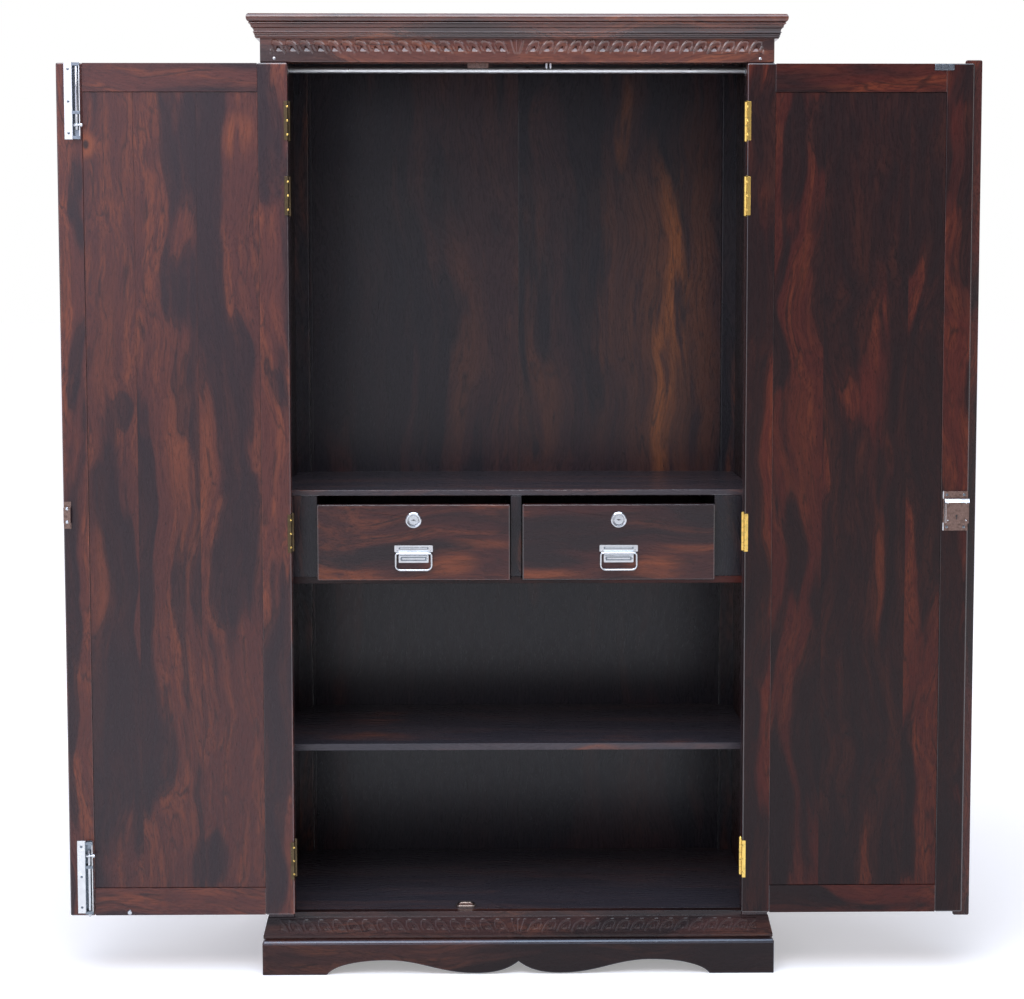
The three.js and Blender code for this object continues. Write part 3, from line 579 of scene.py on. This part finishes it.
# Where the doors' boards are dark, warm or knotty, as (x, z, half width, half height, strength) in metres.
FIGURES = {
    ("left", "panel"): {
        "boards": (0.121, 0.02, 0.0004), "knots": ((-0.838, 1.652, 0.0085),), "black": 0.30,
        "shades": ((-0.670, 1.66, 0.075, 0.16, 1.0), (-0.690, 1.38, 0.065, 0.10, 0.6),
                   (-0.776, 1.13, 0.022, 0.045, 1.2), (-0.545, 1.22, 0.022, 0.14, 1.1),
                   (-0.765, 0.56, 0.034, 0.12, 1.1), (-0.730, 0.41, 0.055, 0.10, 0.8),
                   (-0.625, 0.22, 0.05, 0.06, 0.9)),
        "glows": ((-0.545, 1.665, 0.036, 0.045, 0.7), (-0.655, 1.08, 0.045, 0.20, 0.5),
                  (-0.648, 0.88, 0.024, 0.16, 0.6), (-0.825, 0.75, 0.026, 0.42, 0.4),
                  (-0.812, 1.25, 0.028, 0.16, 0.3)),
    },
    ("left", "hinge_stile"): {
        "black": 0.35, "shades": ((-0.475, 1.66, 0.03, 0.18, 0.9), (-0.470, 1.20, 0.03, 0.14, 0.8),
                                  (-0.475, 0.45, 0.035, 0.42, 0.9)),
    },
    ("left", "closing_stile"): {
        "black": 0.35, "shades": ((-0.866, 1.55, 0.02, 0.12, 0.9), (-0.866, 1.22, 0.02, 0.12, 0.9),
                                  (-0.868, 0.60, 0.018, 0.40, 0.8)),
    },
    ("right", "panel"): {
        "boards": (0.165, 0.06, 0.0004), "black": 0.32,
        "shades": ((0.530, 1.66, 0.030, 0.13, 1.1), (0.605, 1.69, 0.04, 0.08, 1.0),
                   (0.655, 1.45, 0.045, 0.24, 1.2), (0.775, 1.60, 0.055, 0.22, 1.1),
                   (0.775, 1.15, 0.045, 0.12, 1.0), (0.535, 1.25, 0.024, 0.07, 1.1),
                   (0.640, 0.56, 0.070, 0.34, 1.2), (0.650, 0.90, 0.045, 0.16, 0.9),
                   (0.548, 0.87, 0.02, 0.13, 1.0), (0.530, 0.33, 0.035, 0.14, 1.0),
                   (0.785, 0.91, 0.018, 0.07, 1.1), (0.755, 0.24, 0.045, 0.06, 0.9)),
        "glows": ((0.585, 1.45, 0.018, 0.12, 0.45), (0.695, 1.46, 0.018, 0.10, 0.45),
                  (0.565, 1.06, 0.035, 0.18, 0.35), (0.722, 0.80, 0.016, 0.28, 0.5),
                  (0.780, 0.65, 0.040, 0.18, 0.25)),
    },
    ("right", "hinge_stile"): {
        "black": 0.3, "shades": ((0.475, 1.70, 0.03, 0.12, 0.7), (0.470, 0.20, 0.03, 0.12, 0.8)),
        "glows": ((0.482, 1.15, 0.02, 0.26, 0.35), (0.482, 0.85, 0.02, 0.16, 0.4)),
    },
    ("right", "closing_stile"): {"black": 0.45},
}


def paint_doors():
    """Stiles and rails keep crisp joints, while the door's own outer edges are well rounded."""
    members = ("hinge_stile", "closing_stile", "top_rail", "bottom_rail", "panel")
    for side, tones in (("left", RED), ("right", BROWN)):
        low = Vector(min(box(f"{side}_door_{m}")[0][i] for m in members) for i in range(3))
        high = Vector(max(box(f"{side}_door_{m}")[1][i] for m in members) for i in range(3))

        def rim(p, low=low, high=high):
            return min(p.x - low.x, high.x - p.x, p.z - low.z, high.z - p.z) < 0.5

        for number, member in enumerate(members):
            grain = "x" if member.endswith("rail") else "z"
            shift = (0.37 * number, 0.0, 0.9 * number + (0 if side == "left" else 5.0))
            extra = FIGURES.get((side, member), {})
            gloss = GLOSS if side == "left" else 0.2
            material = wood(f"{side}_{member}_wood", tones, grain, shift, gloss=gloss, **extra)
            if member == "panel":
                paint(f"{side}_door_{member}", material)
            else:
                paint(f"{side}_door_{member}", material, 0.7, rim, 2.6,
                      wood(f"{side}_{member}_arris", tones, grain, shift, **SHEEN))
    # The warm glow at the astragal's top end is a painted highlight.
    paint("astragal", wood("astragal_wood", BROWN, "z", (7.0, 0, 0),
                           glows=((0.89, box("astragal")[1].z * MM, 0.02, 0.012, 1.0),)), 3.0)


def sweep_round(name, body, profile, half, front, back, material):
    """A moulding profile of (projection, z) points taken round the front and both sides, with mitres."""
    mesh = bmesh.new()
    rings = []
    for place in (lambda out: (-(half + out), back), lambda out: (-(half + out), front - out),
                  lambda out: (half + out, front - out), lambda out: (half + out, back)):
        rings.append([mesh.verts.new(Vector((*place(out), z)) * MM) for out, z in profile])
    count = len(profile)
    for here, there in zip(rings, rings[1:]):
        for i in range(count):
            j = (i + 1) % count
            mesh.faces.new((here[i], there[i], there[j], here[j]))
    mesh.faces.new(rings[0])
    mesh.faces.new(rings[-1][::-1])
    bmesh.ops.recalc_face_normals(mesh, faces=mesh.faces)
    return make_piece(name, mesh, [material], body, 35)


def arc(centre, radii, start, end, steps=6):
    """Points of an elliptical arc in (projection, z), angles in degrees, 0 outwards and 90 up."""
    points = []
    for i in range(steps + 1):
        angle = math.radians(start + (end - start) * i / steps)
        points.append((centre[0] + radii[0] * math.cos(angle), centre[1] + radii[1] * math.sin(angle)))
    return points


def build_cornice():
    """A thick rounded nosing over a reed, a fascia, a cove and three finer reeds."""
    low, high = box("cornice")
    foot, top = low.z, high.z
    seat = FRONT - box("top_board")[0].y + 0.3
    profile = [(seat, foot + 1.5), (0.3, foot + 1.5), (0.3, foot), (7.2, foot), (7.6, foot + 0.5)]
    profile += [(7.7, foot + 2.2)] + arc((7.9, foot + 3.9), (1.5, 1.5), -80, 80)
    profile += [(8.3, foot + 5.9)] + arc((9.2, foot + 7.6), (1.4, 1.5), -80, 80) + [(9.3, foot + 9.6)]
    profile += arc((10.5, foot + 11.4), (1.6, 1.6), -80, 80) + [(10.6, foot + 13.4)]
    profile += arc((15.4, foot + 14.0), (4.4, 6.5), 165, 90, 5)
    profile += [(15.6, foot + 21.2), (16.6, foot + 26.2), (17.4, foot + 26.6)]
    profile += arc((18.2, foot + 28.4), (1.9, 1.6), -70, 80) + [(18.0, foot + 30.4)]
    profile += arc((19.0, top - 7.8), (5.4, 7.8), -84, 90, 14) + [(seat, top)]
    piece = sweep_round("moulded_cornice", "cabinet", profile, box("frieze_rail")[1].x, FRONT, high.y,
                        wood("cornice_wood", RAISED, "x", (0.3, 0, 0), black=0.2, gloss=0.72, rough=0.13))
    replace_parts(piece, "cornice")


def leaf_relief(u, v, tall, tilt):
    """Height in millimetres of one carved leaf: u across in pitches, v up from 0 to 1.

    A hook-shaped line stands up one side and over the top. At the foot a chip is cut whose floor leans back
    by tilt, so that it faces up and catches the light.
    """
    lean = u + 0.5 * (v - 0.35)
    if v > 0.56:
        rim = abs(math.hypot(lean / 0.36, (v - 0.56) / 0.34) - 1.0) * 0.34
    else:
        rim = min(abs(lean - 0.36), abs(lean + 0.36) + max(0.0, 0.3 - v) * 0.8)
    ridge = 1.3 * math.exp(-((rim / 0.055) ** 2))
    half = 0.22 * min(1.0, max(0.0, (0.60 - v) / 0.32))
    chip = 0.0
    if 0.20 < v < 0.54 and abs(lean) < half:
        chip = -(v - 0.20) * tall * tilt * (1.0 - (abs(lean) / half) ** 6)
    return ridge + chip


def fan_relief(reach, v):
    """The three-fingered spray at the middle of a band: reach from the centre line in pitches."""
    finger = min(abs(reach), abs(reach - (0.14 + 0.3 * v)))
    return 1.3 * math.exp(-((finger / 0.05) ** 2))


def band_relief(x, z, z_low, z_high, half, pitch, tilt):
    """Relief at (x, z): leaves that lean away from a spray at the centre of the band."""
    v = (z - z_low) / (z_high - z_low)
    if not 0.0 < v < 1.0 or abs(x) > half:
        return 0.0
    reach = abs(x) / pitch
    tall = z_high - z_low
    relief = fan_relief(reach, v) if reach < 0.62 else leaf_relief(0.5 - (reach - 0.62) % 1.0, v, tall, tilt)
    border = min(1.0, v * tall / 5.0, (1.0 - v) * tall / 1.5, (half - abs(x)) / 1.2)
    return relief * border


def carved_net(mesh, half, z_low, z_high, step, place):
    """A net of about step over half either side and z_low to z_high; place(x, z) gives each point."""
    columns = round(2 * half / step)
    rows = round((z_high - z_low) / step)
    net = [[mesh.verts.new(place(-half + 2 * half * c / columns, z_low + (z_high - z_low) * r / rows) * MM)
            for c in range(columns + 1)] for r in range(rows + 1)]
    for lower, upper in zip(net, net[1:]):
        for i in range(columns):
            mesh.faces.new((lower[i], lower[i + 1], upper[i + 1], upper[i]))
    return net


SKIRT = {"foot": 76, "top": 112.5, "out": 10.3, "thin": 1.5}  # the bottom rail's slope
UP = Vector((0.0, 0.0, 1.0))
BOLT_HOLE = 5  # radius of the hole in the frieze for the top bolt


def bolt_hole():
    """Where the top bolt's rod stands once the left door is shut, half a turn from where it is at rest."""
    high = box("top_bolt_case")[1]
    return Vector((-2 * HINGE_X - (high.x - 7.5), 2 * HINGE_Y - (high.y - 6), 0.0))


def build_carving():
    """The frieze is carved into its own rail; the bottom rail carries a shallower carved strip."""
    low, high = box("frieze_rail")
    half = high.x

    def on_frieze(x, z):
        edge = 1.0 if min(z - low.z, half - abs(x)) < 0.5 else 0.0
        relief = band_relief(x, z, low.z + 15.5, high.z - 2.5, 482, 27.2, 0.5)
        return Vector((x, low.y - relief + edge, z))

    mesh = bmesh.new()
    net = carved_net(mesh, half, low.z, high.z, 0.9, on_frieze)
    hole = bolt_hole()
    column = min(range(len(net[0])), key=lambda c: abs(net[0][c].co.x / MM - hole.x))
    rings, backs = [], []
    for row in (net[0], net[-1]):
        z = row[0].co.z / MM
        turns = [math.pi * i / 12 for i in range(24)]
        ring = [mesh.verts.new((hole - BOLT_HOLE * Vector((math.sin(a), math.cos(a), 0)) + z * UP) * MM)
                for a in turns]
        back = [mesh.verts.new(Vector((x, high.y, z)) * MM) for x in (-half, hole.x, half)]
        mesh.faces.new(row[:column + 1] + ring[:13] + [back[1], back[0]])
        mesh.faces.new(row[column:] + [back[2], back[1]] + ring[12:] + [ring[0]])
        rings.append(ring)
        backs.append(back)
    for i in range(24):
        j = (i + 1) % 24
        mesh.faces.new((rings[0][i], rings[0][j], rings[1][j], rings[1][i]))
    mesh.faces.new(backs[0] + backs[1][::-1])
    mesh.faces.new([row[0] for row in net] + [backs[1][0], backs[0][0]])
    mesh.faces.new([row[-1] for row in net][::-1] + [backs[0][2], backs[1][2]])
    bmesh.ops.recalc_face_normals(mesh, faces=mesh.faces)
    material = wood("frieze_carved_wood", WARM, "x", (1.7, 0, 0), black=0.3, gloss=0.8, rough=0.16)
    piece = make_piece("carved_frieze", mesh, [material], "cabinet", 50)
    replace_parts(piece, "frieze_rail")

    fall = (SKIRT["out"] - SKIRT["thin"]) / (SKIRT["top"] - SKIRT["foot"])
    base, crest, reach = SKIRT["foot"] + 4, SKIRT["top"] - 4, 480

    def on_skirt(x, z):
        edge = min(z - base, crest - z, reach - abs(x)) < 0.5
        relief = band_relief(x, z, base + 1, crest - 1, reach - 1, 29.5, 0.6)
        proud = -1.0 if edge else 0.9 + 0.4 * relief
        return Vector((x, FRONT - SKIRT["out"] + fall * (z - SKIRT["foot"]) - proud, z))

    mesh = bmesh.new()
    carved_net(mesh, reach, base, crest, 0.95, on_skirt)
    material = wood("bottom_carved_wood", SHADE, "x", (2.2, 0, 0), black=0.4, gloss=0.42, rough=0.22)
    make_piece("bottom_rail_carving", mesh, [material], "cabinet", 50)

    screws = Kit("frieze_screws", "cabinet", ZINC, RECESS_SHADE)
    for sign in (-1, 1):
        screws.screw((sign * 474.5, FRONT, low.z + 7), OUT, 3, turn=sign)
    screws.done()


def build_side_rails():
    """Rails let between the posts on each outer side, flush with them."""
    for side, sign in SIDES:
        post_low, post_high = box(f"{side}_front_post")
        back_low = box(f"{side}_back_post")[0]
        panel_low, panel_high = box(f"{side}_side_panel")
        outer = post_high.x if sign > 0 else post_low.x
        inner = panel_high.x if sign > 0 else panel_low.x
        kit = Kit(f"{side}_side_rails", "cabinet", wood(f"{side}_rail_wood", SHADE, "y", (0, sign, 0.5)))
        for z0, z1 in ((116.5, 190.0), (930.0, 990.0), (1775.0, 1859.0)):
            kit.block((min(inner, outer - sign), post_high.y + 0.2, z0),
                      (max(inner, outer - sign), back_low.y - 0.2, z1))
        kit.done(1)


def build_door_mouldings():
    """A quarter-round bead round the sunk panel on each door's outer face."""
    for side, tones in (("left", RED), ("right", BROWN)):
        low, high = box(f"{side}_door_panel")
        kit = Kit(f"{side}_door_beading", f"{side}_door", wood(f"{side}_bead_wood", tones, "z", (8, 0, 0)))
        width, rise = 11, 5.2
        section = [(0.0, 0.0), (width, 0.0), (width, 1.2)]
        for i in range(7):
            angle = math.pi / 2 * i / 6
            section.append((width - 2 - (width - 3) * math.sin(angle),
                            1.2 + (rise - 1.2) * (1 - math.cos(angle))))
        section.append((0.0, rise))
        rings = []
        for dx, dz in ((1, 1), (-1, 1), (-1, -1), (1, -1)):
            x = low.x if dx > 0 else high.x
            z = low.z if dz > 0 else high.z
            rings.append([kit._vert((x + dx * a, high.y + b, z + dz * a)) for a, b in section])
        for here, there in zip(rings, rings[1:] + rings[:1]):
            for i in range(len(section)):
                j = (i + 1) % len(section)
                kit._face((here[i], here[j], there[j], there[i]), 0)
        kit.done()


# ---------------------------------------------------------------- hardware

def build_hinges():
    for side, sign in SIDES:
        # The left hinges take the brass with painted shade.
        shine = BRASS if side == "right" else SHADED_BRASS
        screws = Kit(f"{side}_hinge_screws", f"{side}_door", BRASS, RECESS_SHADE)
        pins = Kit(f"{side}_hinge_pins", f"{side}_door", shine, RECESS_SHADE)
        leaves = Kit(f"{side}_post_hinge_leaves", "cabinet", shine, RECESS_SHADE)
        post = box(f"{side}_front_post")[0].x if sign > 0 else box(f"{side}_front_post")[1].x
        for number in range(1, 5):
            node = f"{side}_hinge_{number}"
            paint(node, shine, 0.3)
            low, high = box(node)
            edge = low.x if sign > 0 else high.x
            strap = edge + sign * 4.5
            face = low.y
            centre = (low.z + high.z) / 2
            for offset in (-27, 0, 27):
                screws.screw((strap, face, centre + offset), OUT, 2.0, turn=offset * 0.05)
            for end in (-1, 1):
                pins.turned([(4.5, 0), (4.5, 0.4), (3.4, 1.6), (0, 2.2)],
                            (sign * HINGE_X, HINGE_Y, centre + end * 37.5), (0, 0, end), 24)
            for joint in (-22.5, -7.5, 7.5, 22.5):
                pins.turned([(4.3, -0.3), (4.62, -0.25), (4.62, 0.25),
                             (4.3, 0.3)], (sign * HINGE_X, HINGE_Y, centre + joint), (0, 0, 1), 24, 1)
            plate_x = (post - sign * 0.8, post - sign * 0.05)
            leaves.block((min(plate_x), FRONT + 0.5, centre - 37), (max(plate_x), FRONT + 26, centre + 37))
            for offset in (-24, 0, 24):
                leaves.screw((plate_x[0], FRONT + 17, centre + offset), (-sign, 0, 0), 2.4)
        screws.done()
        pins.done()
        leaves.done(0.2)


def build_tower_bolts():
    """Necked barrel bolts: a screwed flange beside an open channel, with staples over the sliding rod."""
    for name, up in (("top_bolt", 1), ("bottom_bolt", -1)):
        low, high = box(f"{name}_case")
        rod_low, rod_high = box(f"{name}_rod")
        side = high.x - 15  # where the channel meets the flange
        centre = high.x - 7.5
        wall = 1.3
        case = Kit(f"{name}_channel", "left_door", BOLT_PLATE, GREY_STEEL, RECESS_SHADE)
        case.block((low.x, high.y - 2, low.z), (side, high.y - 0.1, high.z), 0)
        # Painted shade: the channel's floor and left wall are grey steel, darker than the bright plate of the
        # right wall.
        case.block((side, high.y - 1.4, low.z), (high.x, high.y - 0.1, high.z), 1)
        case.block((side, low.y, low.z), (side + wall, high.y - 1.4, high.z), 1)
        case.block((high.x - wall - 0.6, low.y, low.z), (high.x, high.y - 1.4, high.z), 0)
        for offset in (3.2, 96, 143.8):
            z = high.z - offset if up > 0 else low.z + offset
            case.block((side - 0.2, low.y - 0.6, z - 3), (high.x + 0.2, low.y + 0.5, z + 3), 1)
        for offset in (12, 74, 135):
            z = high.z - offset if up > 0 else low.z + offset
            case.screw((low.x + 8.0, high.y - 2, z), OUT, 2.6, 1, 2, turn=offset)
        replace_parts(case.done(bevel=0.4), f"{name}_case")

        rod = Kit(f"{name}_polished_rod", name, STEEL)
        y = high.y - 6
        tip, tail = (rod_high.z, rod_low.z) if up > 0 else (rod_low.z, rod_high.z)
        length = abs(tip - tail)
        rod.turned([(0, 0), (3.3, 0.2), (3.5, 0.8), (3.5, length - 2),
                    (2.4, length), (0, length)], (centre, y, tail), (0, 0, up), 28)
        knob_z = (high.z - 120) if up > 0 else (low.z + 120)
        knob_y = low.y - 3.7
        rod.turned([(0, 0), (1.8, 0), (1.8, y - knob_y), (0, y - knob_y)], (centre, y, knob_z), OUT, 20)
        rod.turned([(0, -4.5), (2.0, -4.2), (3.0, -2.2), (3.2, 3.5),
                    (2.3, 4.6), (2.3, 7.0), (3.4, 8.2), (3.4, 12.4),
                    (2.6, 13.2), (0, 13.2)], (centre, knob_y, knob_z), (1, 0, 0), 28)
        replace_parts(rod.done(), f"{name}_rod")


def build_rim_lock():
    paint("rim_lock_case", OLD_STEEL, 1.1)
    paint("rim_lock_bolt", STEEL, 0.4)
    low, high = box("rim_lock_case")
    flange = high.y - 1.5
    body_low, body_high, body_left = 911, 959, 840.6
    kit = Kit("rim_lock_fittings", "right_door", ZINC, RECESS_SHADE, GREY_STEEL)
    for z in (low.z + 7.5, high.z - 7.5):
        for x in (low.x + 8, high.x - 8):
            kit.screw((x, flange, z), OUT, 2.9, 2, turn=x * 0.09)
    for x in (body_left + 6, high.x - 6):
        for z in (body_low + 6, body_high - 8):
            kit.turned([(1.5, 0), (1.5, 0.2), (1.0, 0.7), (0, 0.8)], (x, low.y, z), OUT, 18)
    key = Vector(((low.x + high.x) / 2, low.y, 926))
    kit.turned([(2.2, 0), (2.2, 0.15), (0, 0.16)], key, OUT, 20, 1)
    kit.block(key + Vector((-0.9, -0.15, -7)), key + Vector((0.9, 0.1, 0)), 1)
    kit.done(bevel=0.2)
    # The case is folded from sheet: its top and left arrises are bright steel lips, lighter than the
    # tarnished case.
    ridge = Kit("rim_lock_bright_edge", "right_door", STEEL)

    def lip(corners, start, depth, along):
        ridge.prism(corners, lambda a, b, d: Vector((a, b, start + d)) if along == "z" else
                    Vector((start + d, a, b)), depth)

    lip([(low.y - 2.6, body_high - 6.4), (low.y + 0.6, body_high + 0.4),
         (low.y + 6, body_high + 0.4), (low.y + 6, body_high - 6.4)],
        body_left - 0.4, high.x + 0.2 - body_left + 0.4, "x")
    lip([(body_left - 0.4, low.y + 0.9), (body_left + 2.6, low.y - 0.3),
         (body_left + 2.6, low.y + 5), (body_left - 0.4, low.y + 5)],
        body_low + 1, body_high - body_low - 5.6, "z")
    for z0, z1 in ((low.z + 0.3, body_low), (body_high, high.z - 0.3)):
        lip([(low.x - 0.3, flange + 0.4), (low.x + 2.0, flange - 0.5),
             (low.x + 2.0, flange + 1.0), (low.x - 0.3, flange + 1.0)], z0, z1 - z0, "z")
    ridge.done(bevel=0.2)

    paint("lock_keeper", OLD_STEEL, 0.6)
    low, high = box("lock_keeper")
    studs = Kit("lock_keeper_screws", "left_door", ZINC, RECESS_SHADE)
    for z in (low.z + 14, high.z - 13):
        studs.turned([(3.1, 0), (3.0, 0.6), (2.0, 1.6), (0, 2.0)],
                     ((low.x + high.x) / 2, low.y, z), OUT, 24)
    studs.done()

    plate = Kit("keyhole_escutcheon", "right_door", BRASS, RECESS_SHADE)
    x = box("astragal")[0].x - 12
    plate.turned([(8, 0), (8, 0.6), (6.8, 1.4), (0, 1.6)], (x, OUTER_FACE, 930), (0, 1, 0), 40)
    plate.turned([(1.7, 0), (1.7, 1.75), (0, 1.8)], (x, OUTER_FACE, 932), (0, 1, 0), 20, 1)
    plate.done()


def build_drawer_hardware():
    for side in ("left", "right"):
        low, high = box(f"{side}_drawer_front")
        x = (low.x + high.x) / 2
        face = low.y
        lock_z = 910
        ring = Kit(f"{side}_lock_ring", f"{side}_drawer", STEEL)
        section = [(10.4, 0.2), (16, 0.0), (16.2, 0.6), (15.6, 1.8), (13.6, 2.9), (12.0, 2.6), (11.2, 1.6),
                   (10.4, 1.5), (10.4, 0.2)]
        ring.turned([(r, h) for r, h in section], (x, face, lock_z), OUT, 64)
        ring.done()

        plug_high = box(f"{side}_drawer_lock")[1]
        plug = Kit(f"{side}_lock_plug", f"{side}_lock", ZINC, RECESS_SHADE)
        depth = plug_high.y - face
        plug.turned([(0, -depth), (10, -depth), (10, 1.3), (9.4, 1.9),
                     (0, 2.0)], (x, face, lock_z), OUT, 48)
        plug.block((x - 4.2, face - 2.25, lock_z - 0.7), (x + 4.2, face - 1.6, lock_z + 0.7), 1)
        plug.block((x - 1.2, face - 2.2, lock_z - 1.5), (x + 1.2, face - 1.6, lock_z + 1.5), 1)
        plug.block((x, plug_high.y - 2.5, lock_z - 4.5), (plug_high.x, plug_high.y, lock_z + 4.5))
        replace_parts(plug.done(), f"{side}_drawer_lock")

        build_handle(side, x, face)


def build_handle(side, x, face):
    """A trunk handle: a folded plate with a rolled barrel, and a wire bail that hangs from its ends."""
    barrel_z = 843
    axis_y = face - 5.5
    kit = Kit(f"{side}_handle_plates", f"{side}_drawer", STEEL, RECESS_SHADE, GREY_STEEL)
    back = face - 0.3

    def flat(a0, a1, z0, z1, thick, corner, lift=0.0, slot=0):
        outline = []
        for cx, cz, start in ((a1 - corner, z0 + corner, 1.5), (a1 - corner, z1 - corner, 0.0),
                              (a0 + corner, z1 - corner, 0.5), (a0 + corner, z0 + corner, 1.0)):
            for i in range(5):
                angle = math.pi * (start + 0.5 * i / 4)
                outline.append((cx + corner * math.cos(angle), cz + corner * math.sin(angle)))
        kit.prism(outline, lambda a, b, d: Vector((a, back - lift - d, b)), thick, slot)

    flat(x - 38.5, x + 38.5, 845.5, 859, 1.5, 2)
    flat(x - 30, x + 30, 851.0, 855.4, 0.12, 1, 1.5, 2)
    flat(x - 27, x + 27, 852.4, 854.2, 0.3, 0.6, 1.5)
    flat(x - 30, x + 30, 824, 846, 1.5, 2)
    flat(x - 26, x + 26, 828, 836, 0.12, 1, 1.5, 2)
    flat(x - 23, x + 23, 830.4, 833.6, 0.4, 0.8, 1.5)
    bore = 2.6
    kit.turned([(bore, -30), (3.7, -30), (4.0, -29.6), (4.0, 29.6),
                (3.7, 30), (bore, 30), (bore, 20), (0, 20)],
               (x, axis_y, barrel_z), (1, 0, 0), 32)
    kit.turned([(0, -20), (bore, -20), (bore, -30)], (x, axis_y, barrel_z), (1, 0, 0), 32)
    wrap = [(-4.0, 0.0), (-3.7, 1.6), (-2.6, 3.0), (-1.0, 3.9), (1.6, 4.0), (3.7, 5.4), (5.2, 5.4),
            (5.2, -4.0), (3.7, -5.5), (1.0, -4.0), (-1.5, -3.7), (-3.4, -2.1)]
    kit.prism([(a, b) for a, b in wrap],
              lambda a, b, d: Vector((x - 29.5 + d, axis_y + a, barrel_z + b)), 59)
    for a, z in ((-33, 848.4), (33, 848.4), (-27, 831.5), (27, 831.5)):
        kit.screw((x + a, back - 1.5, z), OUT, 1.6, turn=a)
    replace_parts(kit.done(bevel=0.3), f"{side}_handle_plate")

    half, drop, bend, small = 36, 33.5, 10, 3.5
    points = []

    def corner(cx, cz, radius, start, turn):
        for i in range(9):
            angle = math.radians(start + turn * i / 8)
            points.append((x + cx + radius * math.cos(angle), axis_y,
                           barrel_z + cz + radius * math.sin(angle)))

    points.append((x - 22.5, axis_y, barrel_z))
    corner(-half + small, -small, small, 90, 90)
    corner(-half + bend, -drop + bend, bend, 180, 90)
    corner(half - bend, -drop + bend, bend, 270, 90)
    corner(half - small, -small, small, 0, 90)
    points.append((x + 22.5, axis_y, barrel_z))
    bail = wire(f"{side}_bail_wire", f"{side}_bail", points, 2.2, STEEL)
    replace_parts(bail, f"{side}_handle_bail")


def build_rod():
    low, high = box("hanging_rod")
    centre = (low + high) / 2
    radius = (high.z - low.z) / 2
    kit = Kit("polished_rod", "cabinet", ROD_STEEL)
    kit.turned([(0, low.x), (radius, low.x), (radius, high.x), (0, high.x)],
               (0, centre.y, centre.z), (1, 0, 0), 64)
    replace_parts(kit.done(), "hanging_rod")
    for side, sign in SIDES:
        low, high = box(f"{side}_rod_socket")
        wall = high.x if sign > 0 else low.x
        cup = Kit(f"{side}_rod_cup", "cabinet", ZINC, RECESS_SHADE)
        cup.turned([(0, 0), (19, 0), (19, 1.2), (18, 1.8), (12, 2.0),
                    (11, 3.0), (10.6, 9.5), (10, 10), (7.3, 10),
                    (7.3, 2), (0, 2)], (wall, centre.y, centre.z), (-sign, 0, 0), 48)
        for a, b in ((14.5, 0), (-7, 12.5), (-7, -12.5)):
            cup.screw((wall - sign * 1.8, centre.y + b, centre.z + a), (-sign, 0, 0), 2)
        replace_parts(cup.done(), f"{side}_rod_socket")


def build_catches():
    """Ball catches: bodies under the frieze and on the floor, strikes on the doors."""
    frieze_low = box("frieze_rail")[0]
    floor_high = box("floor_panel")[1]
    top = Kit("top_catch_body", "cabinet", OLD_STEEL, RECESS_SHADE)
    y = FRONT + 30
    top.block((-98, y - 6, frieze_low.z - 9), (-57, y + 6, frieze_low.z))
    top.screw((-92, y, frieze_low.z - 9), (0, 0, -1), 2)
    top.done(bevel=2.5, segments=3)
    pins = Kit("top_catch_rollers", "cabinet", STEEL, RECESS_SHADE)
    for x in (57, 65):
        pins.turned([(0, 0), (2.6, 0), (2.6, 8), (1.6, 9.5), (0, 9.8)],
                    (x, y, frieze_low.z), (0, 0, -1), 24)
    pins.done()
    low = Kit("floor_catch_body", "cabinet", WORN_STEEL, RECESS_SHADE, OLD_STEEL)
    y = FRONT + 34
    tiers = ((20.5, 9, 0.0, 5.0, 0), (17.5, 7, 5.0, 3.6, 2), (13.5, 5, 8.6, 2.2, 0))
    for half, depth, base, rise, slot in tiers:
        outline = []
        for cx, start in ((half - depth, 1.5), (depth - half, 0.5)):
            for i in range(13):
                angle = math.pi * (start + i / 12)
                outline.append((-106 + cx + depth * math.cos(angle), y + depth * math.sin(angle)))
        low.prism(outline, lambda a, b, d: Vector((a, b, floor_high.z + base + d)), rise, slot)
    low.done(bevel=1.2, segments=3)

    door_low, door_high = box("right_door_closing_stile")
    strike = Kit("door_top_strike", "right_door", GREY_STEEL, RECESS_SHADE)
    centre = door_high.x - 60
    for shift in (-14, 0, 14):
        strike.block((centre + shift - 5, door_low.y - 5, door_high.z - 12),
                     (centre + shift + 5, door_low.y - 0.1, door_high.z - 1))
    strike.block((centre - 19, door_low.y - 1.2, door_high.z - 13),
                 (centre + 19, door_low.y - 0.05, door_high.z - 0.5))
    strike.done(bevel=0.8)
    door_low, door_high = box("left_door_closing_stile")
    stud = Kit("door_bottom_stud", "left_door", ZINC)
    stud.turned([(5.2, 0.1), (5.0, 2), (3.8, 3.6), (0, 4.4)],
                (door_low.x + 118.4, door_low.y, door_low.z + 6.5), OUT, 32)
    stud.done()


build_studio()
paint_carcass()
paint_interior()
paint_doors()
build_cornice()
build_carving()
build_side_rails()
build_door_mouldings()
build_hinges()
build_tower_bolts()
build_rim_lock()
build_drawer_hardware()
build_rod()
build_catches()

bpy.context.view_layer.update()
